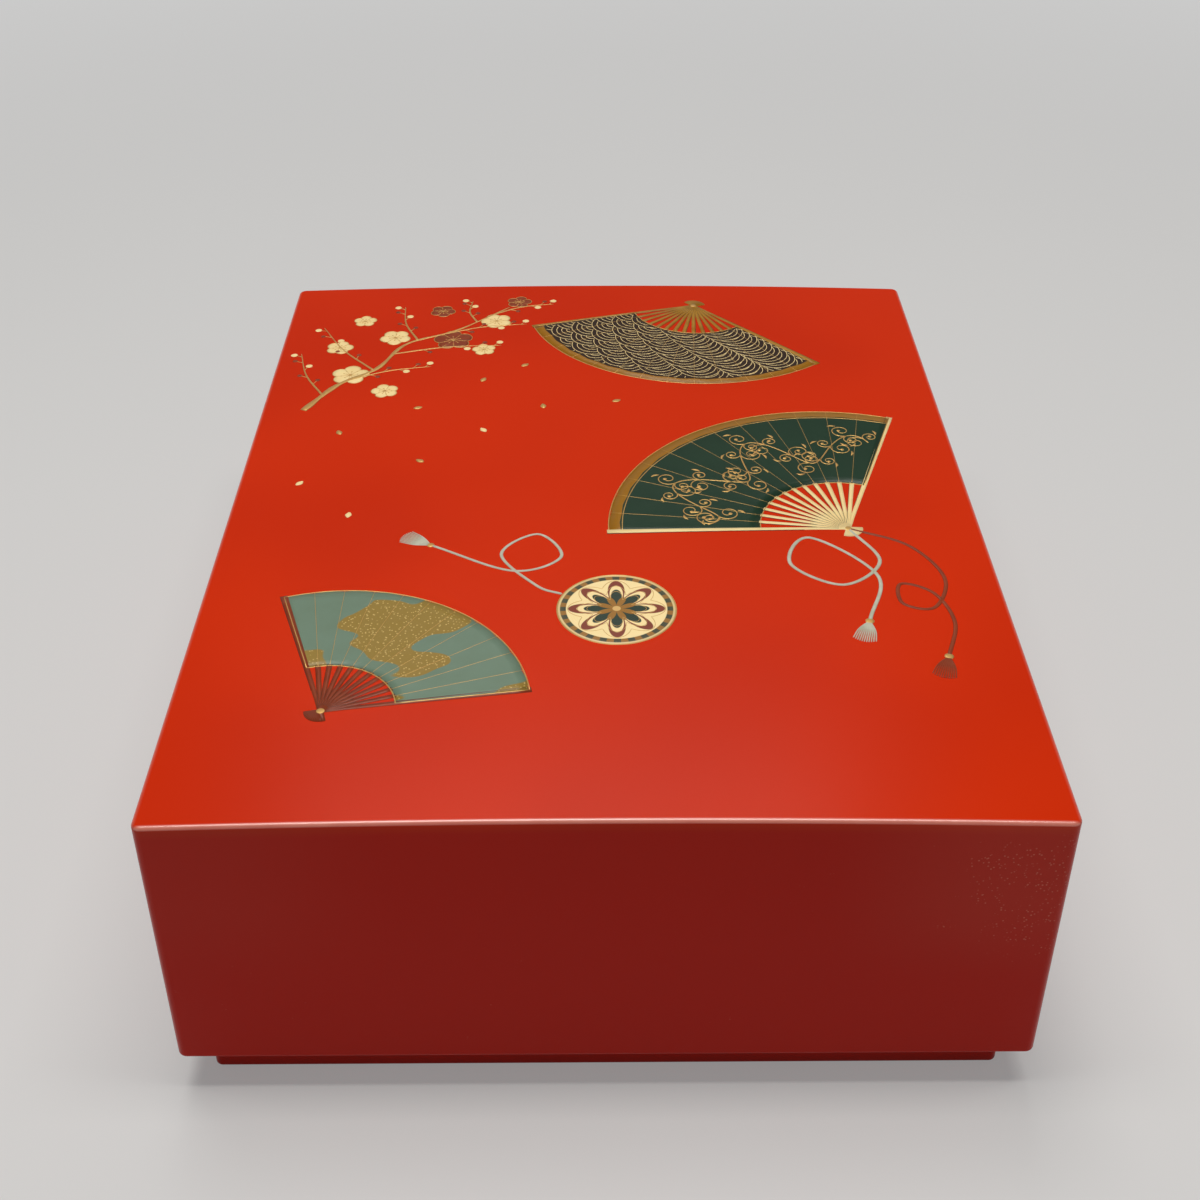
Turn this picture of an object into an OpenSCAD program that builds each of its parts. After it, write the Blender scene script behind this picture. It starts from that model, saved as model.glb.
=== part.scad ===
// Japanese writing box: a deep lacquered case with a full overlapping lid, and inside it a
// lift-out tray for the inkstone, the water dropper, the ink stick and two capped brushes.
// Millimetres. X runs to the right, Y to the back and Z up. The origin is on the table,
// under the middle of the case.

/* [Lid] */
// Outside width of the lid
lid_w = 260; // [225:1:320]
// Outside depth of the lid
lid_d = 342; // [285:1:420]
// Thickness of the lid's wall boards
lid_board = 6.5; // [4.5:0.5:8]
// Thickness of the lid's top panel along its long edges
panel_edge = 4.4; // [3:0.1:6]
// Rise of the arched top over its long edges
crown = 2.3; // [0.5:0.1:6]
// Radius of the lid's upright corners
lid_corner_r = 3; // [2:0.1:5.5]
// Radius where the arched top turns down into the long walls
top_edge_r = 1; // [0.5:0.1:2.5]
// Gap from the table to the lid's rim
rim_gap = 14; // [8:0.5:24]

/* [Case] */
// Height of the case from the table to its rim
case_h = 101.5; // [84:0.5:140]
// Thickness of the case's wall boards
case_board = 5; // [4:0.5:7]
// Thickness of the floor panel under the walls
floor_t = 4; // [3:0.5:6]
// Radius of the case's upright corners
case_corner_r = 2.4; // [1.5:0.1:4]
// Gap between the case and the lid on each side
lid_side_gap = 1.8; // [1:0.1:4]
// Width of the battens that carry the tray
ledge_w = 7; // [4:0.5:10]
// Height of the battens that carry the tray
ledge_h = 8; // [5:0.5:12]

/* [Joinery] */
// Depth of the locating tongues on the top panel and the floor panel
tongue = 1.5; // [1:0.1:2.5]
// Gap round a glued tongue or root
glue_gap = 0.1; // [0.05:0.01:0.2]
// Thickness of the slips let into the mitred corners
slip_t = 1.2; // [0.8:0.1:2]
// Wood left between a slip and the inside corner
slip_cover = 0.9; // [0.5:0.1:2]
// Slips in each corner
slips_per_corner = 3; // [2:1:4]

/* [Tray] */
// Height of the tray
tray_h = 30; // [25:1:40]
// Thickness of the tray's walls and partitions
tray_wall = 4; // [3:0.5:6]
// Thickness of the tray's floor
tray_floor = 4; // [3:0.5:6]
// Radius of the tray's upright corners
tray_corner_r = 2; // [1:0.1:3]
// Drop from the case's rim to the tray's rim
tray_drop = 2.5; // [1:0.5:6]
// Gap between the tray and the case on each side
tray_gap = 0.7; // [0.4:0.1:1.5]
// Height of the two partitions over the tray's floor
partition_h = 20; // [12:1:24]
// Thickness of the bed that holds the inkstone and the dropper
bed_t = 9; // [6:0.5:14]
// Width of the bed on each side of the inkstone
bed_side = 11; // [6:0.5:16]
// Depth of the bed in front of the inkstone
bed_front = 30; // [12:1:50]
// Gap round the bed, and round the pieces that drop into it
seat_gap = 0.4; // [0.2:0.1:1]

/* [Inkstone] */
// Width of the inkstone
stone_w = 90; // [70:1:108]
// Length of the inkstone
stone_l = 150; // [110:1:180]
// Thickness of the inkstone
stone_t = 20; // [16:1:24]
// Radius of the inkstone's upright corners
stone_corner_r = 3; // [1:0.5:6]
// Width of the rim round the grinding face
stone_rim = 7; // [5:0.5:10]
// Depth of the grinding face below the rim
hill_depth = 2; // [1:0.5:4]
// Length of the slope from the grinding face down to the ink well
slope_l = 38; // [20:1:50]
// Length of the ink well's floor
sea_l = 19; // [12:1:30]
// Depth of the ink well below the rim
sea_depth = 10; // [6:0.5:12]

/* [Water dropper] */
// Width of the dropper
dropper_w = 56; // [40:1:68]
// Depth of the dropper
dropper_d = 46; // [36:1:56]
// Height of the dropper under its top plate
dropper_h = 16.6; // [12:0.2:20]
// Radius of the dropper's upright corners
dropper_corner_r = 7; // [3:0.5:12]
// Thickness of the dropper's sheet metal
sheet = 1.2; // [0.8:0.1:2]
// Radius of the air hole and the spout
spout_r = 1.1; // [0.8:0.1:1.8]
// Distance of the spout from the dropper's front and left sides
spout_inset = 10.5; // [8:0.5:16]

/* [Ink stick] */
// Length of the ink stick
ink_l = 104; // [70:1:130]
// Width of the ink stick
ink_w = 26; // [16:1:32]
// Thickness of the ink stick
ink_t = 11; // [8:0.5:14]
// Distance of the ink stick from the tray's front wall
ink_front = 40; // [10:1:60]

/* [Brushes] */
// Radius of a brush handle
handle_r = 4.5; // [3.5:0.1:5.5]
// Wall of the bamboo handle round its bore
handle_wall = 2.5; // [1.5:0.1:3]
// Step from the handle out to the collar
collar_step = 0.7; // [0.3:0.1:1.2]
// Wall of the collar round the root of the hair
collar_wall = 1.8; // [1:0.1:2.2]
// Length of the collar
collar_l = 8; // [6:0.5:12]
// Length of the hair that shows
hair_l = 32; // [24:1:40]
// Running gap between the collar and the cap
cap_gap = 0.2; // [0.1:0.05:0.4]
// Wall of a brush cap
cap_wall = 1.2; // [0.8:0.1:2]
// Travel of a cap as it is drawn off
cap_travel = 45; // [40:1:60]
// Distance of the front rest from the handle's tail
rest_front = 40; // [15:1:60]
// Thickness of a brush rest
rest_t = 5; // [3:0.5:8]
// Gap between a brush and its rests
rest_gap = 0.3; // [0.2:0.05:0.5]

/* [Hidden] */
$fn = 64;

vermilion = [0.72, 0.09, 0.03];
black_lacquer = [0.03, 0.025, 0.025];
bare_wood = [0.78, 0.62, 0.42];
slate = [0.13, 0.13, 0.14];
copper = [0.55, 0.33, 0.22];
soot_black = [0.05, 0.05, 0.055];
bamboo = [0.76, 0.60, 0.36];
horn = [0.12, 0.08, 0.06];
goat_hair = [0.86, 0.80, 0.68];

overcut = 1;        // how far a cutting shape runs past what it cuts
corner_steps = 4;   // facets in each eighth of a turn of a rounded corner

// Case
case_w = lid_w - 2 * (lid_board + lid_side_gap);
case_d = lid_d - 2 * (lid_board + lid_side_gap);
case_in_w = case_w - 2 * case_board;
case_in_d = case_d - 2 * case_board;
case_wall_h = case_h - floor_t;

// Lid: the tongue of its top panel sits on the case's rim
lid_in_w = lid_w - 2 * lid_board;
lid_in_d = lid_d - 2 * lid_board;
lid_wall_top = case_h + tongue;
lid_wall_h = lid_wall_top - rim_gap;
arch_steps = 26;

// Tray
tray_w = case_in_w - 2 * tray_gap;
tray_d = case_in_d - 2 * tray_gap;
tray_z = case_h - tray_drop - tray_h;
tray_in_w = tray_w - 2 * tray_wall;
tray_in_d = tray_d - 2 * tray_wall;
tray_deck = tray_z + tray_floor;
bay_w = stone_w + 2 * bed_side;
well_w = (tray_in_w - bay_w) / 2 - tray_wall;
well_x = bay_w / 2 + tray_wall + well_w / 2;

// Bed: the inkstone lies nearest the writer, and the dropper half way from it to the back
stone_y = -tray_in_d / 2 + bed_front + stone_l / 2;
dropper_y = (stone_y + stone_l / 2 + tray_in_d / 2) / 2;
pocket_corner_r = 9;
slope_steps = 16;
spout_wall = 1.4;
spout_h = 1;

// Ink stick
ink_corner_r = 1.6;
ink_y = -tray_in_d / 2 + ink_front + ink_l / 2;

// Brushes lie along Y with their hair to the back
end_margin = 6;
spigot_l = 6;
spigot_gap = 0.05;
bore_r = handle_r - handle_wall;
tail_l = 5;
tail_step = 0.3;
collar_r = handle_r + collar_step;
root_l = collar_l - 2;
hair_socket_r = collar_r - collar_wall;
hair_root_r = hair_socket_r - glue_gap;
hair_steps = 14;
cap_bore_r = collar_r + cap_gap;
cap_r = cap_bore_r + cap_wall;
cap_tip_gap = 4;
cap_end = 3;
cap_bore_l = collar_l + hair_l + cap_tip_gap;
cap_l = cap_bore_l + cap_end;
handle_y = -tray_in_d / 2 + end_margin + tail_l;
handle_l = tray_in_d / 2 - end_margin - cap_travel - cap_l - handle_y;
collar_y = handle_y + handle_l;
brush_pitch = well_w / 2;
rest_sole = 3;
rest_h = cap_r + rest_gap + rest_sole;
rest_on_cap = 12;
rest_front_y = handle_y + rest_front;
rest_back_y = collar_y + rest_on_cap;
brush_z = tray_deck + rest_h;

// ---- Outlines ----

// Points of an arc round [cx, cy], with its angles in degrees
function arc(cx, cy, r, from, to, steps) =
    [for (i = [0 : steps]) let (a = from + (to - from) * i / steps) [cx + r * cos(a), cy + r * sin(a)]];

// Rectangle with round corners, centred on the origin
function rounded_rect(w, d, r) = concat(
    arc(w / 2 - r, d / 2 - r, r, 0, 90, 2 * corner_steps),
    arc(-w / 2 + r, d / 2 - r, r, 90, 180, 2 * corner_steps),
    arc(-w / 2 + r, -d / 2 + r, r, 180, 270, 2 * corner_steps),
    arc(w / 2 - r, -d / 2 + r, r, 270, 360, 2 * corner_steps)
);

// One mitred wall board from above: its outside face lies on the X axis
function mitred_board(length, t, r) = concat(
    arc(-length / 2 + r, r, r, 225, 270, corner_steps),
    arc(length / 2 - r, r, r, 270, 315, corner_steps),
    [[length / 2 - t, t], [-length / 2 + t, t]]
);

// Height of the arched top over its long edges, at x
function arch(x) = crown * (1 - pow(2 * x / lid_w, 2));

// Smooth step from 0 to 1
function ease(s) = s * s * (3 - 2 * s);

// Radius of the hair at s, from 0 at the collar to 1 at the tip: a full belly and a fine point
function hair_radius(s) =
    hair_root_r * (1 + 0.28 * sin(180 * pow(s, 0.8))) * pow(1 - pow(s, 2.6), 0.75);

// ---- Joinery ----

// Puts what is drawn for the front wall on one of the four sides of a w by d frame
module on_side(side, w, d) {
    if (side == "front") translate([0, -d / 2, 0]) children();
    if (side == "back") translate([0, d / 2, 0]) rotate(180) children();
    if (side == "left") translate([-w / 2, 0, 0]) rotate(-90) children();
    if (side == "right") translate([w / 2, 0, 0]) rotate(90) children();
}

// A mitred wall of a w by d frame, standing on z = 0
module frame_wall(side, w, d, t, r, h) {
    length = (side == "front" || side == "back") ? w : d;
    on_side(side, w, d) linear_extrude(h) polygon(mitred_board(length, t, r));
}

// Copies what is drawn in the corner of the X and Y axes to every slip of a w by d frame
module at_slips(w, d, h) {
    for (k = [0 : slips_per_corner - 1], quarter = [0 : 3]) {
        x = (quarter == 0 || quarter == 3) ? -w / 2 : w / 2;
        y = (quarter < 2) ? -d / 2 : d / 2;
        z = h * (k + 0.5) / slips_per_corner - slip_t / 2;
        translate([x, y, z]) rotate(90 * quarter) children();
    }
}

// How far a slip reaches along each wall from the corner
function slip_reach(t) = sqrt(2) * (t * sqrt(2) - slip_cover);

// The saw cuts for the slips, run out past the corner
module slip_cuts(w, d, t, h) {
    reach = slip_reach(t) + overcut;
    at_slips(w, d, h) linear_extrude(slip_t)
        polygon([[-overcut, -overcut], [reach, -overcut], [-overcut, reach]]);
}

// The slips, trimmed flush with the round corner
module slips(w, d, t, r, h) {
    reach = slip_reach(t);
    at_slips(w, d, h) linear_extrude(slip_t)
        polygon(concat([[0, reach]], arc(r, r, r, 180, 270, 2 * corner_steps), [[reach, 0]]));
}

// A board's tongue, which fits inside a frame w by d
module panel_tongue(w, d) {
    linear_extrude(tongue) square([w - 2 * glue_gap, d - 2 * glue_gap], center = true);
}

// ---- Lid ----

module lid_top_panel() {
    edge_x = lid_w / 2 - top_edge_r;
    edge_z = panel_edge + arch(edge_x) - top_edge_r;
    profile = concat(
        [[-lid_w / 2, 0], [lid_w / 2, 0]],
        arc(edge_x, edge_z, top_edge_r, 0, 90, corner_steps),
        [for (i = [1 : arch_steps - 1]) let (x = edge_x * (1 - 2 * i / arch_steps))
            [x, panel_edge + arch(x)]],
        arc(-edge_x, edge_z, top_edge_r, 90, 180, corner_steps)
    );
    color(vermilion) union() {
        translate([0, 0, lid_wall_top]) intersection() {
            translate([0, lid_d / 2, 0]) rotate([90, 0, 0]) linear_extrude(lid_d) polygon(profile);
            linear_extrude(panel_edge + crown) polygon(rounded_rect(lid_w, lid_d, lid_corner_r));
        }
        translate([0, 0, case_h]) panel_tongue(lid_in_w, lid_in_d);
    }
}

module lid_wall(side) {
    color(vermilion) translate([0, 0, rim_gap]) difference() {
        frame_wall(side, lid_w, lid_d, lid_board, lid_corner_r, lid_wall_h);
        slip_cuts(lid_w, lid_d, lid_board, lid_wall_h);
    }
}

module lid_corner_slips() {
    color(bare_wood) translate([0, 0, rim_gap]) slips(lid_w, lid_d, lid_board, lid_corner_r, lid_wall_h);
}

// ---- Case ----

module case_floor_panel() {
    color(vermilion) union() {
        linear_extrude(floor_t) polygon(rounded_rect(case_w, case_d, case_corner_r));
        translate([0, 0, floor_t]) panel_tongue(case_in_w, case_in_d);
    }
}

module case_wall(side) {
    color(vermilion) translate([0, 0, floor_t]) difference() {
        frame_wall(side, case_w, case_d, case_board, case_corner_r, case_wall_h);
        slip_cuts(case_w, case_d, case_board, case_wall_h);
    }
}

module case_corner_slips() {
    color(bare_wood) translate([0, 0, floor_t])
        slips(case_w, case_d, case_board, case_corner_r, case_wall_h);
}

// The batten on one side, -1 for the left and 1 for the right
module tray_ledge(side) {
    color(black_lacquer) translate([side * (case_in_w - ledge_w) / 2, 0, tray_z - ledge_h / 2])
        cube([ledge_w, case_in_d, ledge_h], center = true);
}

// ---- Tray ----

module tray_floor_board() {
    color(black_lacquer) translate([0, 0, tray_z])
        linear_extrude(tray_floor) polygon(rounded_rect(tray_w, tray_d, tray_corner_r));
}

module tray_wall_board(side) {
    color(black_lacquer) translate([0, 0, tray_deck])
        frame_wall(side, tray_w, tray_d, tray_wall, tray_corner_r, tray_h - tray_floor);
}

// The partition on one side, -1 for the left and 1 for the right
module tray_partition(side) {
    color(black_lacquer) translate([side * (bay_w + tray_wall) / 2, 0, tray_deck + partition_h / 2])
        cube([tray_wall, tray_in_d, partition_h], center = true);
}

// A hole through the bed for a piece w by d with corners of radius r
module bed_hole(y, w, d, r) {
    translate([0, y, -overcut]) linear_extrude(bed_t + 2 * overcut)
        polygon(rounded_rect(w + 2 * seat_gap, d + 2 * seat_gap, r + seat_gap));
}

module inkstone_bed() {
    color(black_lacquer) translate([0, 0, tray_deck]) difference() {
        translate([0, 0, bed_t / 2])
            cube([bay_w - 2 * seat_gap, tray_in_d - 2 * seat_gap, bed_t], center = true);
        bed_hole(stone_y, stone_w, stone_l, stone_corner_r);
        bed_hole(dropper_y, dropper_w, dropper_d, dropper_corner_r);
    }
}

// Places what is drawn round the Y axis on the line of one brush, 1 or 2
module on_brush(number) {
    translate([-well_x + (number - 1.5) * brush_pitch, 0, brush_z]) children();
}

// A round bar along +Y from y
module bar(y, r, length) {
    translate([0, y, 0]) rotate([-90, 0, 0]) cylinder(h = length, r = r);
}

// A strip with a half-round notch for each brush, which has radius r there
module brush_rest(y, r) {
    color(black_lacquer) difference() {
        translate([-well_x, y, tray_deck + rest_h / 2]) cube([well_w, rest_t, rest_h], center = true);
        for (number = [1, 2]) on_brush(number)
            bar(y - rest_t / 2 - overcut, r + rest_gap, rest_t + 2 * overcut);
    }
}

// ---- Inkstone, dropper and ink stick ----

// The pocket's floor is the grinding face at the front, and drops to the ink well at the back
module inkstone_pocket() {
    l = stone_l - 2 * stone_rim;
    slope_y = l / 2 - sea_l - slope_l;
    slope = [for (i = [0 : slope_steps]) let (s = i / slope_steps)
        [slope_y + slope_l * s, -hill_depth - (sea_depth - hill_depth) * ease(s)]];
    profile = concat(
        [[-l / 2 - overcut, -hill_depth]],
        slope,
        [[l / 2 + overcut, -sea_depth], [l / 2 + overcut, overcut], [-l / 2 - overcut, overcut]]
    );
    intersection() {
        translate([-stone_w / 2, 0, 0]) rotate([90, 0, 90]) linear_extrude(stone_w) polygon(profile);
        translate([0, 0, -sea_depth - overcut]) linear_extrude(sea_depth + 2 * overcut)
            polygon(rounded_rect(stone_w - 2 * stone_rim, l, pocket_corner_r));
    }
}

module inkstone() {
    color(slate) translate([0, stone_y, tray_deck]) difference() {
        linear_extrude(stone_t) polygon(rounded_rect(stone_w, stone_l, stone_corner_r));
        translate([0, 0, stone_t]) inkstone_pocket();
    }
}

module dropper_cup() {
    color(copper) translate([0, dropper_y, tray_deck]) difference() {
        linear_extrude(dropper_h) polygon(rounded_rect(dropper_w, dropper_d, dropper_corner_r));
        translate([0, 0, sheet]) linear_extrude(dropper_h)
            polygon(rounded_rect(dropper_w - 2 * sheet, dropper_d - 2 * sheet, dropper_corner_r - sheet));
    }
}

// The top plate has the spout at its front left corner and the air hole at its middle
module dropper_top() {
    spout_x = -dropper_w / 2 + spout_inset;
    spout_y = -dropper_d / 2 + spout_inset;
    color(copper) translate([0, dropper_y, tray_deck + dropper_h]) difference() {
        union() {
            linear_extrude(sheet) polygon(rounded_rect(dropper_w, dropper_d, dropper_corner_r));
            translate([spout_x, spout_y, 0]) cylinder(h = sheet + spout_h, r = spout_r + spout_wall);
        }
        translate([spout_x, spout_y, -overcut]) cylinder(h = sheet + spout_h + 2 * overcut, r = spout_r);
        translate([0, 0, -overcut]) cylinder(h = sheet + 2 * overcut, r = spout_r);
    }
}

module ink_stick() {
    color(soot_black) translate([well_x, ink_y, tray_deck])
        linear_extrude(ink_t) polygon(rounded_rect(ink_w, ink_l, ink_corner_r));
}

// ---- Brushes, numbered 1 and 2 from the left ----

module brush_handle(number) {
    color(bamboo) on_brush(number) difference() {
        bar(handle_y, handle_r, handle_l);
        bar(handle_y - overcut, bore_r, handle_l + 2 * overcut);
    }
}

// The horn button that closes the handle's tail, with its spigot in the bore
module brush_tail(number) {
    color(horn) on_brush(number) union() {
        bar(handle_y - tail_l, handle_r + tail_step, tail_l);
        bar(handle_y - overcut, bore_r - spigot_gap, spigot_l + overcut);
    }
}

// The horn collar, with its spigot in the handle's bore and a socket for the hair
module brush_collar(number) {
    color(horn) on_brush(number) difference() {
        union() {
            bar(collar_y, collar_r, collar_l);
            bar(collar_y - spigot_l, bore_r - spigot_gap, spigot_l + overcut);
        }
        bar(collar_y + collar_l - root_l, hair_socket_r, root_l + overcut);
    }
}

// Hair bound into a round root that is glued in the collar's socket
module brush_hair(number) {
    tip_s = 0.985;
    profile = concat(
        [[0, -root_l], [hair_root_r, -root_l]],
        [for (i = [0 : hair_steps]) let (s = tip_s * i / hair_steps) [hair_radius(s), hair_l * s]],
        [[0, hair_l]]
    );
    color(goat_hair) on_brush(number) translate([0, collar_y + collar_l, 0]) rotate([-90, 0, 0])
        rotate_extrude() polygon(profile);
}

module brush_cap(number) {
    color(bamboo) on_brush(number) difference() {
        bar(collar_y, cap_r, cap_l);
        bar(collar_y - overcut, cap_bore_r, cap_bore_l + overcut);
    }
}

lid_top_panel();
lid_wall("front");  // lid_wall_front
lid_wall("back");  // lid_wall_back
lid_wall("left");  // lid_wall_left
lid_wall("right");  // lid_wall_right
lid_corner_slips();
case_floor_panel();
case_wall("front");  // case_wall_front
case_wall("back");  // case_wall_back
case_wall("left");  // case_wall_left
case_wall("right");  // case_wall_right
case_corner_slips();
tray_ledge(-1);  // tray_ledge_left
tray_ledge(1);  // tray_ledge_right
tray_floor_board();
tray_wall_board("front");  // tray_wall_front
tray_wall_board("back");  // tray_wall_back
tray_wall_board("left");  // tray_wall_left
tray_wall_board("right");  // tray_wall_right
tray_partition(-1);  // tray_partition_left
tray_partition(1);  // tray_partition_right
inkstone_bed();
brush_rest(rest_front_y, handle_r);  // brush_rest_front
brush_rest(rest_back_y, cap_r);  // brush_rest_back
inkstone();
dropper_cup();
dropper_top();
ink_stick();
brush_handle(1);  // brush_1_handle
brush_tail(1);  // brush_1_tail
brush_collar(1);  // brush_1_collar
brush_hair(1);  // brush_1_hair
brush_cap(1);  // brush_1_cap
brush_handle(2);  // brush_2_handle
brush_tail(2);  // brush_2_tail
brush_collar(2);  // brush_2_collar
brush_hair(2);  // brush_2_hair
brush_cap(2);  // brush_2_cap
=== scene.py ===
"""Looks of the Japanese writing box: vermilion lacquer with raised painting on the lid, and
inside it the black lacquered tray with its inkstone, dropper, ink stick and brushes.

Shapes are worked out in millimetres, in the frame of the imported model: X to the right, Y to
the back, Z up, with the origin on the table under the middle of the case.
"""
import math

import bmesh
import bpy
import numpy as np
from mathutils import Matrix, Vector


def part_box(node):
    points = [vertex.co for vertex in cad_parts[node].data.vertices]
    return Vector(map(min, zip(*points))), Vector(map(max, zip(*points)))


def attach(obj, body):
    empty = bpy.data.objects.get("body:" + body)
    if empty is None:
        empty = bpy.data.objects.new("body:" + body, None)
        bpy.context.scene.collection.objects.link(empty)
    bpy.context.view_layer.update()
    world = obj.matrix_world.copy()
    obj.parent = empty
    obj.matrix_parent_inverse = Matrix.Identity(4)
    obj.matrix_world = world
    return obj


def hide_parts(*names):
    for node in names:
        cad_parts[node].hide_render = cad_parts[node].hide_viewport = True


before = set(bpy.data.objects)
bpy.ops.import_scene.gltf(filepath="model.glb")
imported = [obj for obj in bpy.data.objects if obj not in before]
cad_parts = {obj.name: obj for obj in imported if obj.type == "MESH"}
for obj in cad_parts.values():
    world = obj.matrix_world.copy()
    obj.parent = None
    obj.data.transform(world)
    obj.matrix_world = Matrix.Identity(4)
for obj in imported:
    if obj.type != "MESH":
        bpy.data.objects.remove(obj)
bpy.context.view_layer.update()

MM = 0.001
TURN = 2 * math.pi
rng = np.random.default_rng(12)


# ---------------------------------------------------------------- shader writing

class Value:
    """A shader socket. Python's operators on it add Math nodes."""

    def __init__(self, finish, socket):
        self.finish, self.socket = finish, socket

    def math(self, operation, other):
        return self.finish.math(operation, self, other)

    def __add__(self, other):
        return self.math("ADD", other)

    def __radd__(self, other):
        return self.finish.math("ADD", other, self)

    def __sub__(self, other):
        return self.math("SUBTRACT", other)

    def __rsub__(self, other):
        return self.finish.math("SUBTRACT", other, self)

    def __mul__(self, other):
        return self.math("MULTIPLY", other)

    def __rmul__(self, other):
        return self.finish.math("MULTIPLY", other, self)

    def __truediv__(self, other):
        return self.math("DIVIDE", other)

    def __rtruediv__(self, other):
        return self.finish.math("DIVIDE", other, self)

    def __pow__(self, other):
        return self.math("POWER", other)

    def __rpow__(self, other):
        return self.finish.math("POWER", other, self)


class Finish:
    """One material, or the world, while it is written."""

    def __init__(self, name, owner=None):
        self.material = owner or bpy.data.materials.new(name)
        self.material.use_nodes = True
        self.tree = self.material.node_tree
        self.tree.nodes.clear()

    def node(self, kind, inputs=None, out=0, **settings):
        """Adds a node: its settings, then its inputs by name or number, as values or links."""
        made = self.tree.nodes.new(kind)
        for key, value in settings.items():
            setattr(made, key, value)
        for key, value in (inputs or {}).items():
            if isinstance(value, Value):
                self.tree.links.new(value.socket, made.inputs[key])
            else:
                made.inputs[key].default_value = value
        return Value(self, made.outputs[out]) if len(made.outputs) else None

    def math(self, operation, *values):
        return self.node("ShaderNodeMath", dict(enumerate(values)), operation=operation)

    def place(self):
        """The point's place on the piece, in metres."""
        return self.node("ShaderNodeTexCoord", out=3)

    def uv(self):
        return self.node("ShaderNodeTexCoord", out=2)

    def axes(self, vector):
        return [self.node("ShaderNodeSeparateXYZ", {0: vector}, out=k) for k in range(3)]

    def stretched(self, vector, scale):
        return self.node("ShaderNodeMapping", {"Vector": vector, "Scale": scale})

    def noise(self, vector, size_mm, detail=2.0, roughness=0.5):
        """Noise from 0 to 1 whose lumps are about size_mm across."""
        inputs = {"Vector": vector, "Scale": 1 / (size_mm * MM), "Detail": detail,
                  "Roughness": roughness}
        return self.node("ShaderNodeTexNoise", inputs)

    def cells(self, vector, size_mm):
        """Distance to the nearest of many scattered points, about size_mm apart."""
        return self.node("ShaderNodeTexVoronoi", {"Vector": vector, "Scale": 1 / (size_mm * MM)})

    def ramp(self, value, low, high, to_low=0.0, to_high=1.0):
        """A smooth step of value, from to_low at low to to_high at high."""
        inputs = {0: value, 1: low, 2: high, 3: to_low, 4: to_high}
        return self.node("ShaderNodeMapRange", inputs, interpolation_type="SMOOTHSTEP")

    def mix(self, factor, first, second):
        """A colour between two colours, each a colour link or three numbers."""
        inputs = {0: factor}
        for key, colour in ((6, first), (7, second)):
            inputs[key] = colour if isinstance(colour, Value) else (*colour, 1.0)
        return self.node("ShaderNodeMix", inputs, out=2, data_type="RGBA")

    def bump(self, height, depth_mm, strength=1.0):
        inputs = {"Height": height, "Distance": depth_mm * MM, "Strength": strength}
        return self.node("ShaderNodeBump", inputs)

    def surface(self, **inputs):
        """Ends the material with a Principled BSDF, whose inputs are named with underscores."""
        values = {}
        for key, value in inputs.items():
            if isinstance(value, tuple) and len(value) == 3:
                value = (*value, 1.0)
            values[key.replace("_", " ")] = value
        shader = self.node("ShaderNodeBsdfPrincipled", values)
        self.node("ShaderNodeOutputMaterial", {"Surface": shader})
        return self.material


# ---------------------------------------------------------------- finishes

VERMILION = (0.58, 0.025, 0.0008)
VERMILION_DEEP = (0.53, 0.021, 0.0006)
# pale salmon mixed into the lacquer: painted highlight on its edges, partly rubbed wear, and the
# front's painted reflection and glints
VERMILION_HIGHLIGHT_AND_WEAR = (0.90, 0.36, 0.25)
# a deeper, more saturated red painted on the walls as shade
VERMILION_WALL_SHADE = (0.53, 0.008, 0.0003)
CREAM = (0.90, 0.71, 0.35)
PINE_GREEN = (0.006, 0.026, 0.012)
BROWN_BLACK = (0.020, 0.009, 0.005)
OCHRE = (0.30, 0.130, 0.006)
TEAL = (0.125, 0.185, 0.125)
OLIVE_GOLD = (0.27, 0.175, 0.030)
ASH = (0.42, 0.42, 0.32)
RUSSET = (0.20, 0.030, 0.008)
GOLD = (0.64, 0.40, 0.13)


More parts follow.
